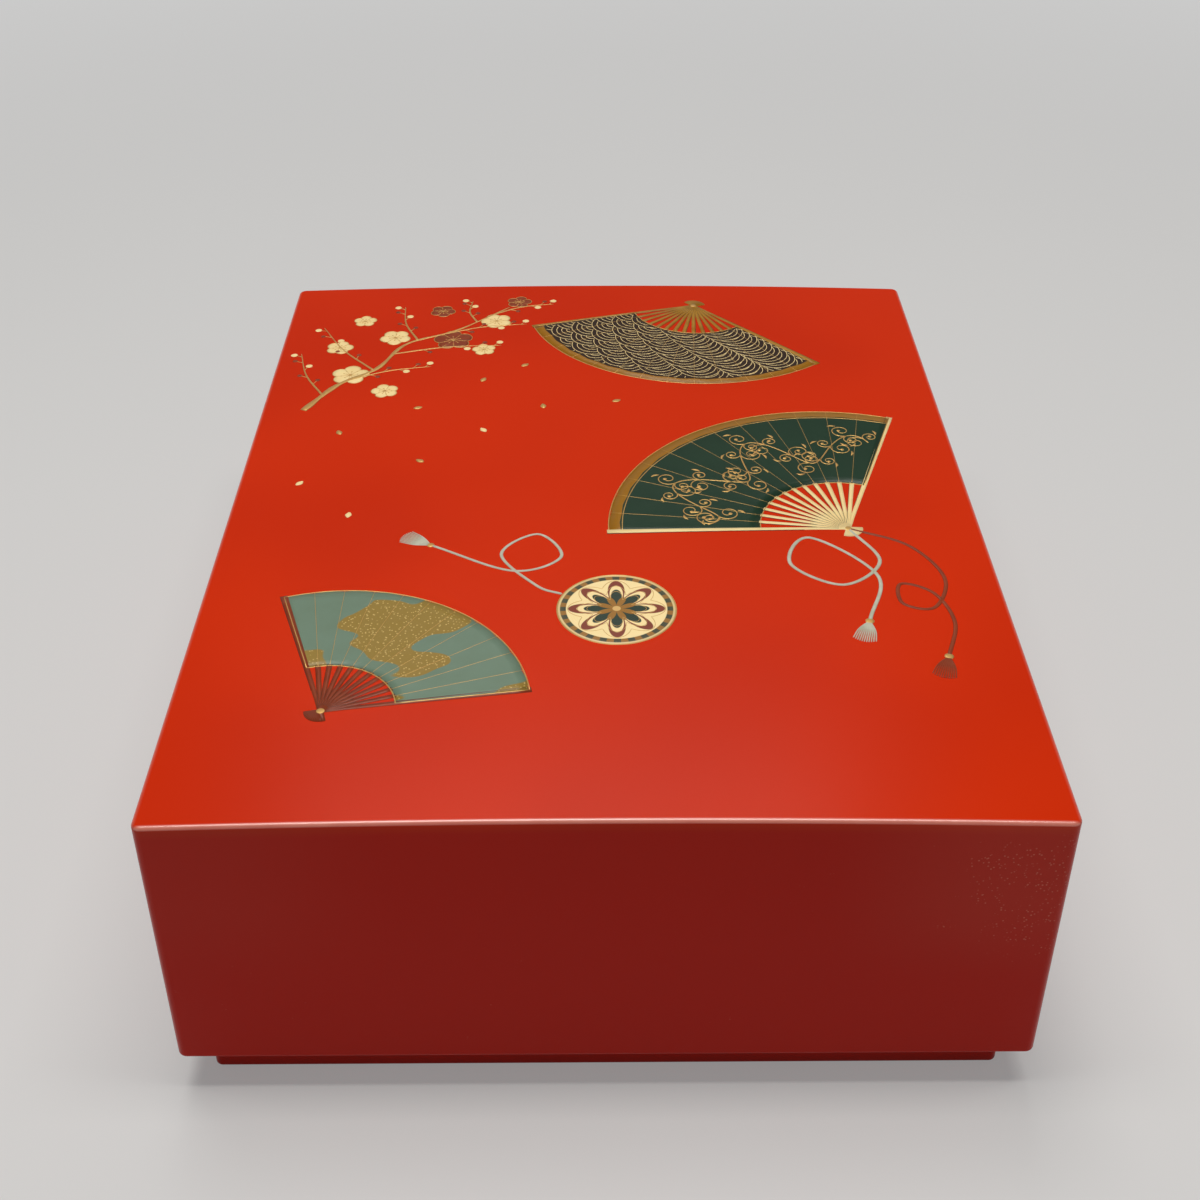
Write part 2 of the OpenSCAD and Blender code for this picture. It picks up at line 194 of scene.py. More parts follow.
def vermilion_lacquer():
    """Satin red lacquer with a fine orange peel. The walls are painted a deeper, more saturated red
    than
    the top: painted shade. The top edges are painted paler, most of all along the front: a painted
    highlight, partly rubbed wear, and the vertical corners get a faint painted highlight. The front
    has a painted reflection, paler towards its sides, and fine pale speckle near its right end,
    painted glints on its orange peel."""
    f = Finish("vermilion_lacquer")
    at = f.place()
    x, y, z = f.axes(at)
    half_w, half_d, radius = LID_W / 2 * MM, LID_D / 2 * MM, TOP_EDGE_R * MM
    edge_from, edge_full = 0.0016, 0.0003           # distances in from an edge, in metres
    under_crown = z - CROWN * MM * (1 - (2 * x / (LID_W * MM)) ** 2)
    edge_z = LID_EDGE_Z * MM
    colour = f.mix(f.ramp(f.noise(at, 90, 1.0), 0.3, 0.7), VERMILION, VERMILION_DEEP)
    # painted shade: below the top edge, the walls of the lid and the case are mixed towards a
    # deeper red
    wall = f.ramp(under_crown, edge_z - radius, edge_z - 4 * radius)
    colour = f.mix(wall * 0.85, colour, VERMILION_WALL_SHADE)

    side = f.ramp(f.math("ABSOLUTE", x), half_w - edge_from, half_w - edge_full)
    end = f.ramp(f.math("ABSOLUTE", y), half_d - edge_from, half_d - edge_full)
    brow = f.ramp(under_crown, edge_z - radius, edge_z - 0.4 * radius)
    # painted highlight with some rubbed wear: the top edges paler, strongest along the front, and a
    # faint painted highlight on the vertical corners; the same masks make the edges' coat glossier
    front_edge = end * f.ramp(y, 0.0, -0.1)
    top_edge = brow * f.math("MAXIMUM", front_edge, 0.4 * f.math("MAXIMUM", side, end))
    corner = side * end
    rubbed = top_edge * f.ramp(f.noise(at, 14, 2.0), 0.15, 0.75, 0.6, 1.0)
    colour = f.mix(rubbed * 0.6 + corner * 0.05, colour, VERMILION_HIGHLIGHT_AND_WEAR)

    # painted reflection: the front is mixed paler towards its two ends
    front = f.ramp(y, 0.0008 - half_d, 0.0001 - half_d)
    both_ends = f.math("MAXIMUM", f.ramp(x, 0.055, 0.112), 0.5 * f.ramp(x, -0.055, -0.112))
    painted_reflection = both_ends * f.ramp(z, 0.042, 0.080) * front
    # painted glints: fine pale speckle near the front's right end, where the orange peel catches
    # the light; the same marks also raise the bump
    right_end = f.ramp(x, 0.076, 0.120) * f.ramp(z, 0.040, 0.078) * f.ramp(z, 0.108, 0.095)
    patches = f.noise(at, 8, 2.0, 0.6) - 0.34 * (1 - right_end)
    specks_and_glints = f.ramp(f.cells(at, 1.2), 0.28, 0.16) * f.ramp(patches, 0.34, 0.56) * front
    colour = f.mix(specks_and_glints * 0.32 + painted_reflection * 0.055, colour, VERMILION_HIGHLIGHT_AND_WEAR)
    peel = f.noise(at, 1.1, 1.0) * 0.35 + specks_and_glints * 1.2
    return f.surface(Base_Color=colour, Roughness=0.225 + 0.04 * f.noise(at, 35, 2.0),
                     Specular_IOR_Level=0.12,
                     Coat_Weight=f.math("MAXIMUM", corner * 0.3, top_edge),
                     Coat_Roughness=0.38, Coat_IOR=2.3, Normal=f.bump(peel, 0.02, 0.5))


def black_lacquer():
    """Polished black lacquer with faint rubbing marks."""
    f = Finish("black_lacquer")
    at = f.place()
    roughness = 0.13 + 0.10 * f.noise(f.stretched(at, (1.0, 0.12, 1.0)), 1.6, 3.0)
    colour = f.mix(f.noise(at, 60, 1.0), (0.008, 0.0055, 0.005), (0.014, 0.009, 0.008))
    return f.surface(Base_Color=colour, Roughness=roughness,
                     Normal=f.bump(f.noise(at, 1.3, 1.0), 0.008, 0.4))


def gold_flecked_lacquer():
    """Amber-black lacquer with gold flakes sprinkled under the surface."""
    f = Finish("gold_flecked_lacquer")
    at = f.place()
    flake = f.cells(at, 0.55)
    dense = f.noise(at, 9, 2.0)
    mask = f.ramp(flake, 0.30, 0.22) * f.ramp(dense, 0.35, 0.60)
    ground = f.mix(f.noise(at, 40, 2.0), (0.016, 0.008, 0.005), (0.035, 0.016, 0.007))
    return f.surface(Base_Color=f.mix(mask, ground, GOLD), Metallic=mask * 0.85,
                     Roughness=0.20 + 0.16 * mask, Normal=f.bump(flake, 0.01, 0.3))


def brushed(f, colour, roughness, strength=0.3):
    """Ends a material as satin lacquer paint with a fine grain."""
    grain = f.noise(f.place(), 0.5, 2.0)
    return f.surface(Base_Color=colour, Roughness=roughness, Specular_IOR_Level=0.3,
                     Normal=f.bump(grain, 0.02, strength))


def paint(name, colour, other, size_mm=7.0):
    """Raised lacquer painting: brushed on, a little uneven in colour and gloss."""
    f = Finish(name)
    uneven = f.noise(f.place(), size_mm, 3.0, 0.6)
    colour = f.mix(f.ramp(uneven, 0.25, 0.75), colour, other)
    return brushed(f, colour, 0.34 + 0.10 * uneven, 0.35)


def gold_powder():
    """Sprinkled gold: fine metal grains, a little redder where they lie thin."""
    f = Finish("gold_powder")
    at = f.place()
    grain = f.noise(at, 0.25, 2.0)
    thin = f.ramp(f.noise(at, 5, 3.0), 0.35, 0.75)
    return f.surface(Base_Color=f.mix(thin * 0.45, GOLD, (0.48, 0.20, 0.05)),
                     Metallic=0.75 - 0.25 * thin, Roughness=0.36 + 0.20 * grain,
                     Normal=f.bump(grain, 0.02, 0.5))


def banded_paper(name, ground, other, size_mm, band):
    """A fan's dark paper, with an ochre band outside the share band of its height."""
    f = Finish(name)
    _, along, _ = f.axes(f.uv())
    colour = f.mix(f.noise(f.place(), size_mm, 3.0), ground, other)
    return brushed(f, f.mix(f.ramp(along, band, band + 0.005), colour, OCHRE), 0.34)


def clouded_paper():
    """The teal fan's paper: drifting olive-gold clouds with gold flecks in them."""
    f = Finish("leaf_teal")
    at = f.place()
    mask = f.ramp(f.noise(f.stretched(at, (1.0, 1.5, 1.0)), 26, 1.0), 0.525, 0.535)
    fleck = f.ramp(f.cells(at, 1.1), 0.28, 0.20) * mask
    ground = f.mix(f.noise(at, 9, 3.0), TEAL, (0.15, 0.23, 0.17))
    clouded = f.mix(mask, ground, OLIVE_GOLD)
    return brushed(f, f.mix(fleck * 0.8, clouded, (0.62, 0.45, 0.16)), 0.36)


def ball_threads():
    """The thread ball: rings of petals wound in coloured thread. Its UV map is the disc, from -1
    to 1."""
    f = Finish("ball_threads")
    u, v, _ = f.axes(f.uv())
    radius = (u * u + v * v) ** 0.5
    angle = f.math("ARCTAN2", v, u)
    petal = f.math("ABSOLUTE", f.math("COSINE", angle * 4.0))
    between = f.math("ABSOLUTE", f.math("SINE", angle * 4.0))
    threads = f.math("SINE", radius * 150.0)
    beads = f.ramp(f.math("COSINE", angle * 24.0), -0.15, 0.15)
    ring = f.ramp(radius, 0.845, 0.855) * f.ramp(radius, 0.955, 0.945)
    colour = f.mix(ring, CREAM, f.mix(beads, OCHRE, PINE_GREEN))
    rings = ((0.30, 0.52, petal, RUSSET), (0.22, 0.46, petal, CREAM),
             (0.16, 0.40, petal, PINE_GREEN), (0.10, 0.26, between, OCHRE))
    for inner, lobe, wave, thread in rings:
        edge = inner + lobe * wave
        colour = f.mix(f.ramp(radius, edge, edge - 0.015), colour, thread)
    colour = f.mix(f.ramp(radius, 0.075, 0.065), colour, GOLD)
    # painted shade: the ball darkens towards its rim
    shade = f.ramp(radius, 0.80, 1.0, 0.0, 0.25)
    colour = f.mix(shade, colour, (0.30, 0.20, 0.10))
    return f.surface(Base_Color=colour, Roughness=0.42, Normal=f.bump(threads, 0.03, 0.5))


def honed_slate():
    """Dark slate with a fine cleavage grain, and dried ink in and above the well."""
    f = Finish("honed_slate")
    at = f.place()
    _, y, z = f.axes(at)
    grain = f.noise(f.stretched(at, (1.0, 0.25, 1.0)), 3.0, 6.0, 0.65)
    cloud = f.noise(at, 34, 3.0)
    stone = f.mix(f.ramp(cloud, 0.3, 0.7), (0.036, 0.038, 0.044), (0.060, 0.062, 0.068))
    stone = f.mix(f.ramp(grain, 0.60, 0.75) * 0.5, stone, (0.11, 0.11, 0.12))
    wet = f.ramp(y + 0.02 * (f.noise(at, 11, 3.0) - 0.5), -0.060, -0.030)
    ink = wet * f.ramp(z, 0.0920, 0.0912)
    return f.surface(Base_Color=f.mix(ink * 0.9, stone, (0.006, 0.006, 0.007)),
                     Roughness=0.58 - 0.25 * ink + 0.10 * (grain - 0.5),
                     Normal=f.bump(grain, 0.05, 0.4))


def brown_copper():
    """Patinated copper: brown with rubbed, brighter patches."""
    f = Finish("brown_copper")
    at = f.place()
    cloud = f.noise(at, 12, 4.0, 0.6)
    rubbed = f.ramp(f.noise(at, 22, 3.0), 0.45, 0.72)
    colour = f.mix(cloud, (0.20, 0.085, 0.045), (0.30, 0.135, 0.07))
    colour = f.mix(rubbed * 0.6, colour, (0.62, 0.30, 0.17))
    return f.surface(Base_Color=colour, Metallic=1.0, Roughness=0.34 + 0.18 * cloud,
                     Normal=f.bump(f.noise(at, 1.2, 3.0), 0.02, 0.4))


def ink_soot():
    """Moulded soot and glue: dull black with a faint blue."""
    f = Finish("ink_soot")
    at = f.place()
    cloud = f.noise(at, 8, 3.0)
    colour = f.mix(cloud, (0.011, 0.011, 0.013), (0.020, 0.020, 0.024))
    return f.surface(Base_Color=colour, Roughness=0.36 + 0.14 * cloud,
                     Normal=f.bump(f.noise(at, 0.8, 3.0), 0.02, 0.5))


def bamboo_skin():
    """Bamboo with long fibres along Y and darker, greener stains."""
    f = Finish("bamboo_skin")
    at = f.place()
    fibre = f.noise(f.stretched(at, (1.0, 0.03, 1.0)), 0.5, 4.0, 0.6)
    stain = f.noise(f.stretched(at, (1.0, 0.4, 1.0)), 9, 3.0)
    colour = f.mix(fibre, (0.46, 0.27, 0.085), (0.66, 0.43, 0.17))
    colour = f.mix(f.ramp(stain, 0.52, 0.75) * 0.55, colour, (0.26, 0.12, 0.035))
    return f.surface(Base_Color=colour, Roughness=0.34 + 0.14 * fibre,
                     Normal=f.bump(fibre, 0.03, 0.6))


def dark_horn():
    """Polished buffalo horn with paler streaks along Y."""
    f = Finish("dark_horn")
    streak = f.noise(f.stretched(f.place(), (1.0, 0.12, 1.0)), 1.6, 4.0)
    colour = f.mix(f.ramp(streak, 0.55, 0.8), (0.014, 0.009, 0.007), (0.12, 0.075, 0.04))
    return f.surface(Base_Color=colour, Roughness=0.18 + 0.1 * streak)


def goat_hair():
    """Cream brush hair, darker towards the tip."""
    f = Finish("goat_hair")
    at = f.place()
    strand = f.noise(f.stretched(at, (1.0, 0.04, 1.0)), 0.22, 3.0)
    _, y, _ = f.axes(at)
    colour = f.mix(strand, (0.62, 0.50, 0.33), (0.84, 0.76, 0.60))
    colour = f.mix(f.ramp(y, 0.083, 0.096) * 0.35, colour, (0.42, 0.30, 0.17))
    return f.surface(Base_Color=colour, Roughness=0.62, Sheen_Weight=0.3,
                     Normal=f.bump(strand, 0.05, 0.8))


# ---------------------------------------------------------------- surfaces

def grid_faces(rows, columns, closed=False):
    """Four-sided faces of a rows by columns grid of points. Closed joins the last column to the
    first."""
    here = np.arange(rows - 1)[:, None] * columns
    j = np.arange(columns - (not closed))[None, :]
    following = (j + 1) % columns
    corners = [here + j, here + following, here + columns + following, here + columns + j]
    return np.stack(np.broadcast_arrays(*corners), -1).reshape(-1, 4)


def polar(radius, angle):
    """Points of the plan at a radius and an angle round the origin."""
    return np.stack([radius * np.cos(angle), radius * np.sin(angle)], -1)


def crosswise(along):
    """Directions of the plan, turned a quarter turn to the left."""
    return np.stack([-along[..., 1], along[..., 0]], -1)


def sheet(points, finish=0, closed=False, uv=None):
    """A patch from a grid of points (rows, columns, 3): points, faces, finish number and UV."""
    rows, columns = points.shape[:2]
    uv = np.zeros((rows * columns, 2)) if uv is None else uv.reshape(-1, 2)
    return points.reshape(-1, 3), grid_faces(rows, columns, closed), finish, uv


def piece(name, patches, finishes, body, stands_for=(), merge_mm=0.001):
    """Makes one object of patches, merges the points they share and turns its faces outwards."""
    counts = np.cumsum([0] + [len(p[0]) for p in patches])
    points = np.concatenate([p[0] for p in patches]) * MM
    faces = np.concatenate([p[1] + start for p, start in zip(patches, counts)])
    slots = np.concatenate([np.full(len(p[1]), p[2]) for p in patches])
    uv = np.concatenate([p[3] for p in patches])
    mesh = bpy.data.meshes.new(name)
    mesh.vertices.add(len(points))
    mesh.vertices.foreach_set("co", points.astype(np.float32).ravel())
    mesh.loops.add(faces.size)
    mesh.loops.foreach_set("vertex_index", faces.astype(np.int32).ravel())
    mesh.polygons.add(len(faces))
    mesh.polygons.foreach_set("loop_start", np.arange(0, faces.size, 4, dtype=np.int32))
    mesh.polygons.foreach_set("material_index", slots.astype(np.int32))
    mesh.polygons.foreach_set("use_smooth", np.ones(len(faces), bool))
    layer = mesh.uv_layers.new(name="UVMap")
    layer.data.foreach_set("uv", uv[faces.ravel()].astype(np.float32).ravel())
    mesh.update(calc_edges=True)
    work = bmesh.new()
    work.from_mesh(mesh)
    bmesh.ops.remove_doubles(work, verts=work.verts, dist=merge_mm * MM)
    bmesh.ops.dissolve_degenerate(work, edges=work.edges, dist=merge_mm * MM * 0.5)
    bmesh.ops.recalc_face_normals(work, faces=work.faces)
    work.to_mesh(mesh)
    work.free()
    for finish in finishes:
        mesh.materials.append(finish)
    return placed(added(name, mesh), body, stands_for)


def added(name, data, place_mm=(0, 0, 0), rotation=(0, 0, 0)):
    """Adds an object to the scene."""
    made = bpy.data.objects.new(name, data)
    made.location = [c * MM for c in place_mm]
    made.rotation_euler = rotation
    bpy.context.scene.collection.objects.link(made)
    return made


def placed(made, body, stands_for=()):
    """Says what an object rides on and stands for."""
    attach(made, body)
    if stands_for:
        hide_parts(*stands_for)
    return made


def softened(name, nodes, width_mm, finish, body):
    """Copies CAD nodes, merges their loose triangles and rounds their edges."""
    merge_mm, flat_degrees, edge_degrees = 0.002, 0.5, 40
    work = bmesh.new()
    for node in nodes:
        work.from_mesh(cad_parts[node].data)
    bmesh.ops.remove_doubles(work, verts=work.verts, dist=merge_mm * MM)
    bmesh.ops.dissolve_limit(work, angle_limit=math.radians(flat_degrees), verts=work.verts,
                             edges=work.edges)
    bmesh.ops.recalc_face_normals(work, faces=work.faces)
    mesh = bpy.data.meshes.new(name)
    work.to_mesh(mesh)
    work.free()
    mesh.polygons.foreach_set("use_smooth", np.ones(len(mesh.polygons), bool))
    mesh.materials.clear()
    mesh.materials.append(finish)
    mesh.polygons.foreach_set("material_index", np.zeros(len(mesh.polygons), np.int32))
    made = added(name, mesh)
    bevel = made.modifiers.new("rounded edges", "BEVEL")
    bevel.width = width_mm * MM
    bevel.segments = 3
    bevel.limit_method = "ANGLE"
    bevel.angle_limit = math.radians(edge_degrees)
    made.modifiers.new("even shading", "WEIGHTED_NORMAL").weight = 90
    return placed(made, body, nodes)


SIDE_RUNS = (26, 24)
CORNER_RUN = 5


def outline(width, depth, radius, runs=SIDE_RUNS, corner=CORNER_RUN):
    """A rounded rectangle as one loop. Each side is an eighth of a circle, a straight run and an
    eighth of a circle, so that the loop starts in the middle of a corner."""
    sides = []
    for quarter in range(4):
        length, across = (width, depth) if quarter % 2 == 0 else (depth, width)
        run = runs[quarter % 2]
        first = np.radians(np.linspace(225, 270, corner + 1)[:-1])
        last = np.radians(np.linspace(270, 315, corner + 1)[:-1])
        half = length / 2 - radius
        level = np.linspace(-half, half, run + 1)[:-1]
        x = np.concatenate([radius * np.cos(first) - half, level, radius * np.cos(last) + half])
        y = np.concatenate([radius * np.sin(first), np.full(run, -radius), radius * np.sin(last)])
        y = y - across / 2 + radius
        turn = quarter * TURN / 4
        sides.append(x[:, None] * polar(1, turn) + y[:, None] * crosswise(polar(1, turn)))
    return np.concatenate(sides)


def fill(loop, runs=SIDE_RUNS, corner=CORNER_RUN):
    """Fills an outline with a grid: each inner point blends the two pairs of opposite sides and
    takes off the blend of the four corners."""
    nx, ny = (run + 2 * corner for run in runs)
    front, right = loop[:nx + 1], loop[nx:nx + ny + 1]
    back = loop[nx + ny:2 * nx + ny + 1][::-1]
    left = np.concatenate([loop[2 * nx + ny:], loop[:1]])[::-1]
    u = np.linspace(0, 1, nx + 1)[None, :, None]
    v = np.linspace(0, 1, ny + 1)[:, None, None]
    sides = (1 - v) * front[None] + v * back[None] + (1 - u) * left[:, None] + u * right[:, None]
    corners = ((1 - u) * (1 - v) * front[0] + u * (1 - v) * front[-1]
               + (1 - u) * v * back[0] + u * v * back[-1])
    return sides - corners


def loft(sections, centre=(0, 0), runs=SIDE_RUNS, corner=CORNER_RUN):
    """A closed skin through rounded rectangles, each (width, depth, radius, height, finish). A
    height is a number or a function of x and y. The first and the last are filled."""
    flats = [outline(*section[:3], runs, corner) for section in sections]
    loops = [raised(flat, section[3]) for flat, section in zip(flats, sections)]
    patches = []
    for below, above, section in zip(loops, loops[1:], sections[1:]):
        patches.append(sheet(np.stack([below, above]), section[4], closed=True))
    for end in (0, -1):
        *_, height, finish = sections[end]
        patches.append(sheet(raised(fill(flats[end], runs, corner), height), finish))
    shift = np.array([*centre, 0.0])
    return [(points + shift, faces, finish, uv) for points, faces, finish, uv in patches]


def raised(flat, height):
    """Adds z to points of the plan. Height is numbers, or a function of x and y."""
    z = height(flat[..., 0], flat[..., 1]) if callable(height) else height
    return np.concatenate([flat, np.broadcast_to(z, flat.shape[:-1])[..., None]], -1)


def rounding(inset, height, radius, start, end, steps=5):
    """Insets and heights on an arc of a section, round (inset, height), from start to end
    degrees. At 0 degrees the arc is farthest out, and at 90 degrees it is at its top."""
    angle = np.radians(np.linspace(start, end, steps + 1))
    return list(zip(inset - radius * np.cos(angle), height + radius * np.sin(angle)))


LEAD = 0.5                       # the flat strip beside a rounding that keeps its shading clean


def upright(low, high, foot_r, top_r, lead=LEAD):
    """Insets and heights up the outside of a block whose foot and top edges are rounded."""
    points = [(foot_r + lead, low)] + rounding(foot_r, low + foot_r, foot_r, -90, 0)
    points += [(0, low + foot_r + lead), (0, high - top_r - lead)]
    return points + rounding(top_r, high - top_r, top_r, 0, 90)


def about(axis, y, radius, angle):
    """Points at y, at a radius and an angle round an axis (x, z) that runs along Y."""
    x, z = axis[0] + radius * np.cos(angle), axis[1] + radius * np.sin(angle)
    return np.stack([x, np.broadcast_to(y, x.shape), z], -1)


def turned(profile, axis, steps=40):
    """A turned piece whose axis runs along Y: (y, radius) carried round a full circle."""
    profile = np.asarray(profile, float)
    angle = np.linspace(0, TURN, steps, endpoint=False)
    return sheet(about(axis, profile[:, :1], profile[:, 1:], angle), closed=True)


def extent(node):
    """Lowest and highest corner of a CAD node, in millimetres."""
    low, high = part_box(node)
    return np.array(low) / MM, np.array(high) / MM


# ---------------------------------------------------------------- lid and case

RED, BLACK = 0, 1
lid_low, lid_high = extent("lid_top_panel")
wall_low, wall_high = extent("lid_wall_front")
LID_W, LID_D = (lid_high - lid_low)[:2]
RIM_Z = wall_low[2]
LID_BOARD = wall_high[1] - wall_low[1]
LID_CORNER_R = 3.0
CASE_CORNER_R = 2.4
CAD_CROWN = 2.3                  # rise of the CAD model's lid from its sides to its middle
PAINT_ROOM = 0.25                # left under the CAD model's top for the raised painting
CROWN = CAD_CROWN - PAINT_ROOM
LID_EDGE_Z = lid_high[2] - CAD_CROWN
TOP_EDGE_R = 1.25
RIM_R = 0.7
CEILING_Z = lid_low[2]


def lid_top(x):
    """Height of the lid's top: a parabola across its width, highest in the middle."""
    return LID_EDGE_Z + CROWN * (1 - (2 * x / LID_W) ** 2)


def walled(width, depth, radius, profile, inner_radius, finish=0):
    """Sections from a profile of insets and heights, with each corner's radius less its inset,
    and not under inner_radius."""
    return [(width - 2 * i, depth - 2 * i, max(radius - i, inner_radius), z, finish)
            for i, z in profile]


def on_arch(drop):
    """A height that stays drop below the arched top."""
    return lambda x, y: lid_top(x) - drop


def box_nodes(body, panel, *slips):
    """The CAD nodes of a box: its panel, its four walls and its corner slips."""
    parts = (panel, "wall_front", "wall_back", "wall_left", "wall_right", *slips)
    return [f"{body}_{part}" for part in parts]


def lid_coat(finishes):
    """The lid's lacquer: over the arched top, down the walls, round the rim and up inside."""
    size, cove_r, inner_radius = (LID_W, LID_D, LID_CORNER_R), 1.5, 1.2
    shoulder = rounding(TOP_EDGE_R, -TOP_EDGE_R, TOP_EDGE_R, 90, 0, 7)
    outside = [(TOP_EDGE_R + LEAD, on_arch(0))] + [(i, on_arch(-z)) for i, z in shoulder]
    outside += [(0, on_arch(TOP_EDGE_R + LEAD)), (0, RIM_Z + RIM_R + LEAD)]
    outside += rounding(RIM_R, RIM_Z + RIM_R, RIM_R, 0, -90)
    outside += rounding(LID_BOARD - RIM_R, RIM_Z + RIM_R, RIM_R, -90, -180)
    inside = [(LID_BOARD, RIM_Z + RIM_R + LEAD), (LID_BOARD, CEILING_Z - cove_r - LEAD)]
    inside += rounding(LID_BOARD + cove_r, CEILING_Z - cove_r, cove_r, 0, 90)
    inside += [(LID_BOARD + cove_r + LEAD, CEILING_Z)]
    sections = (walled(*size, outside, inner_radius, RED)
                + walled(*size, inside, inner_radius, BLACK))
    return piece("lid_lacquer_coat", loft(sections), finishes, "lid",
                 box_nodes("lid", "top_panel", "corner_slips"))


def open_box_coat(body, nodes, radius, cove_r, finishes):
    """The lacquer of the case or the tray: under its floor, up its walls, over the rim and down
    inside to a small cove. The first of the nodes is the floor and the second is the front wall.
    The inside has the last of the finishes."""
    low, high = extent(nodes[0])
    wall_low, wall_high = extent(nodes[1])
    rim, board, floor_z = wall_high[2], wall_high[1] - wall_low[1], high[2]
    foot_r, rim_r, inner_radius = 0.8, 1.2, 1.4
    outside = upright(min(low[2], wall_low[2]), rim, foot_r, rim_r)
    inside = rounding(board - rim_r, rim - rim_r, rim_r, 90, 180)
    inside += [(board, rim - rim_r - LEAD), (board, floor_z + cove_r + LEAD)]
    inside += rounding(board + cove_r, floor_z + cove_r, cove_r, 0, -90)
    inside += [(board + cove_r + LEAD, floor_z)]
    size = (*(high - low)[:2], radius)
    sections = (walled(*size, outside, inner_radius)
                + walled(*size, inside, inner_radius, len(finishes) - 1))
    return piece(f"{body}_lacquer_coat", loft(sections), finishes, body, nodes)


# ---------------------------------------------------------------- writing tools

def stone(finish):
    """The inkstone: rounded block with a pocket whose floor falls to the well at the back.
    The floor's height is a smooth step in y, and its edge is a small cove."""
    low, high = extent("inkstone")
    width, depth = (high - low)[:2]
    centre = (low + high)[:2] / 2
    rim, edge_r, lip_r, cove_r, corner_r, pocket_r = 7.0, 1.6, 1.2, 1.0, 3.0, 9.0
    pocket = depth - 2 * rim
    slope_l, sea_l, hill, sea = 38.0, 19.0, 2.0, 10.0
    slope_start = pocket / 2 - sea_l - slope_l

    def floor_z(x, y):
        s = np.clip((y - slope_start) / slope_l, 0, 1)
        return high[2] - hill - (sea - hill) * s * s * (3 - 2 * s)

    def above_floor(rise):
        return lambda x, y: floor_z(x, y) + rise

    outside = upright(low[2], high[2], edge_r, edge_r)
    outside += [(edge_r + LEAD, high[2]), (rim - lip_r - LEAD, high[2])]
    inside = rounding(rim - lip_r, high[2] - lip_r, lip_r, 90, 180)[:-1]
    cove = rounding(rim + cove_r, cove_r, cove_r, -5, -90)
    inside += [(i, above_floor(z)) for i, z in cove] + [(rim + cove_r + LEAD, floor_z)]
    sections = walled(width, depth, corner_r, outside, 1.0)
    sections += walled(width, depth, pocket_r + rim, inside, 0.0)
    return piece("inkstone_honed", loft(sections, centre, (20, 44), 6), [finish], "inkstone",
                 ["inkstone"])


STICK_SINK = 0.5                 # depth of the ink stick's sunk panel


def stick(finish):
    """The ink stick: a moulded block with a raised border round a sunk panel on top."""
    low, high = extent("ink_stick")
    width, depth = (high - low)[:2]
    centre = (low + high)[:2] / 2
    edge_r, border, corner_r = 1.2, 2.6, 1.6
    profile = upright(low[2], high[2], edge_r, edge_r, 0.4)
    profile += [(edge_r + 0.2, high[2]), (border - 0.2, high[2]), (border, high[2] - 0.06)]
    panel = high[2] - STICK_SINK
    profile += [(border + 0.35, panel + 0.06), (border + 0.55, panel), (border + 1.0, panel)]
    sections = [(width - 2 * i, depth - 2 * i, max(corner_r - 0.2 * i, 0.9), z, 0)
                for i, z in profile]
    return piece("ink_stick_moulded", loft(sections, centre, (10, 24), 4), [finish], "ink_stick",
                 ["ink_stick"])


def straight(start, direction, near, far, count):
    """Points on a straight line that leaves start in a direction, from near to far along it."""
    return start + direction * np.linspace(near, far, count)[:, None]


def lobed(radius, turn):
    """The edge of a plum flower round the origin: five round lobes, |cos| of two and a half
    turns."""
    angle = np.linspace(0, TURN, 61)
    return polar(radius * (0.70 + 0.30 * np.abs(np.cos(2.5 * (angle - turn))) ** 0.6), angle)


def gilding(gold):
    """The ink stick's moulded and gilt device: two blossoms on a twig, in its sunk panel."""
    low, high = extent("ink_stick")
    centre = ((low + high)[:2] / 2)[None]

    def panel(x):
        return high[2] - STICK_SINK + 0 * x

    twig = centre + curve([(-5, -38), (3, -22), (-3, -4), (4, 14), (0, 34)], 60)
    patches = [stroke(twig, np.linspace(1.5, 0.5, 60), 0.16, 0, panel)]
    for index, turn in ((10, 0.9), (20, 2.3), (30, 0.8), (40, 2.2), (50, 1.0)):
        ray = polar(1, turn)
        patches.append(stroke(straight(twig[index], ray, 0, 6, 6), 0.55, 0.15, 0, panel))
        patches.append(dot(twig[index] + ray * 6.6, 1.0, 0.24, 0, 12, panel))
    for index, radius, turn in ((4, 4.6, 0.2), (26, 5.2, 0.8), (56, 4.4, 0.5)):
        patches.append(stroke(twig[index] + lobed(radius, turn), 0.5, 0.20, 0, panel))
        patches.append(dot(twig[index], 1.0, 0.30, 0, 12, panel))
    return piece("ink_stick_gilding", patches, [gold], "ink_stick")


def dropper_relief(finish):
    """Cast relief round the dropper's air hole: five petals, each a swelling between two valleys.
    Height is a sine of the radius times |cos| of two and a half turns of the angle."""
    centre = sum(extent("dropper_cup"))[:2] / 2
    plate = extent("dropper_top")[1][2] - 1.0
    share = np.linspace(0, 1, 15)[:, None]
    angle = np.linspace(0, TURN, 90, endpoint=False)[None, :]
    petal = np.abs(np.cos(2.5 * (angle - 0.3)))
    reach = 9.5 * (0.62 + 0.38 * petal ** 0.5)
    radius = 2.0 + (reach - 2.0) * share
    rise = 0.55 * np.sin(math.pi * share ** 0.8) * (0.25 + 0.75 * petal ** 0.7) - 0.05
    top = raised(centre + polar(radius, angle), plate + rise)
    under = raised(top[..., :2], plate - 0.10)
    skin = np.concatenate([top, under[::-1], top[:1]])
    return piece("dropper_relief", [sheet(skin, 0, closed=True)], [finish], "dropper")


def knotted(start, end, steps, radius, knots):
    """A bamboo stem as (y, radius): at each knot there is a ridge with a groove in front of it,
    and each is a bell curve of the distance from the knot."""
    y = np.linspace(start, end, steps)
    shape = np.full(steps, float(radius))
    for knot in knots:
        off = y - knot
        shape += 0.30 * np.exp(-(off / 0.8) ** 2) - 0.22 * np.exp(-((off + 1.6) / 0.7) ** 2)
    return np.stack([y, shape], -1)


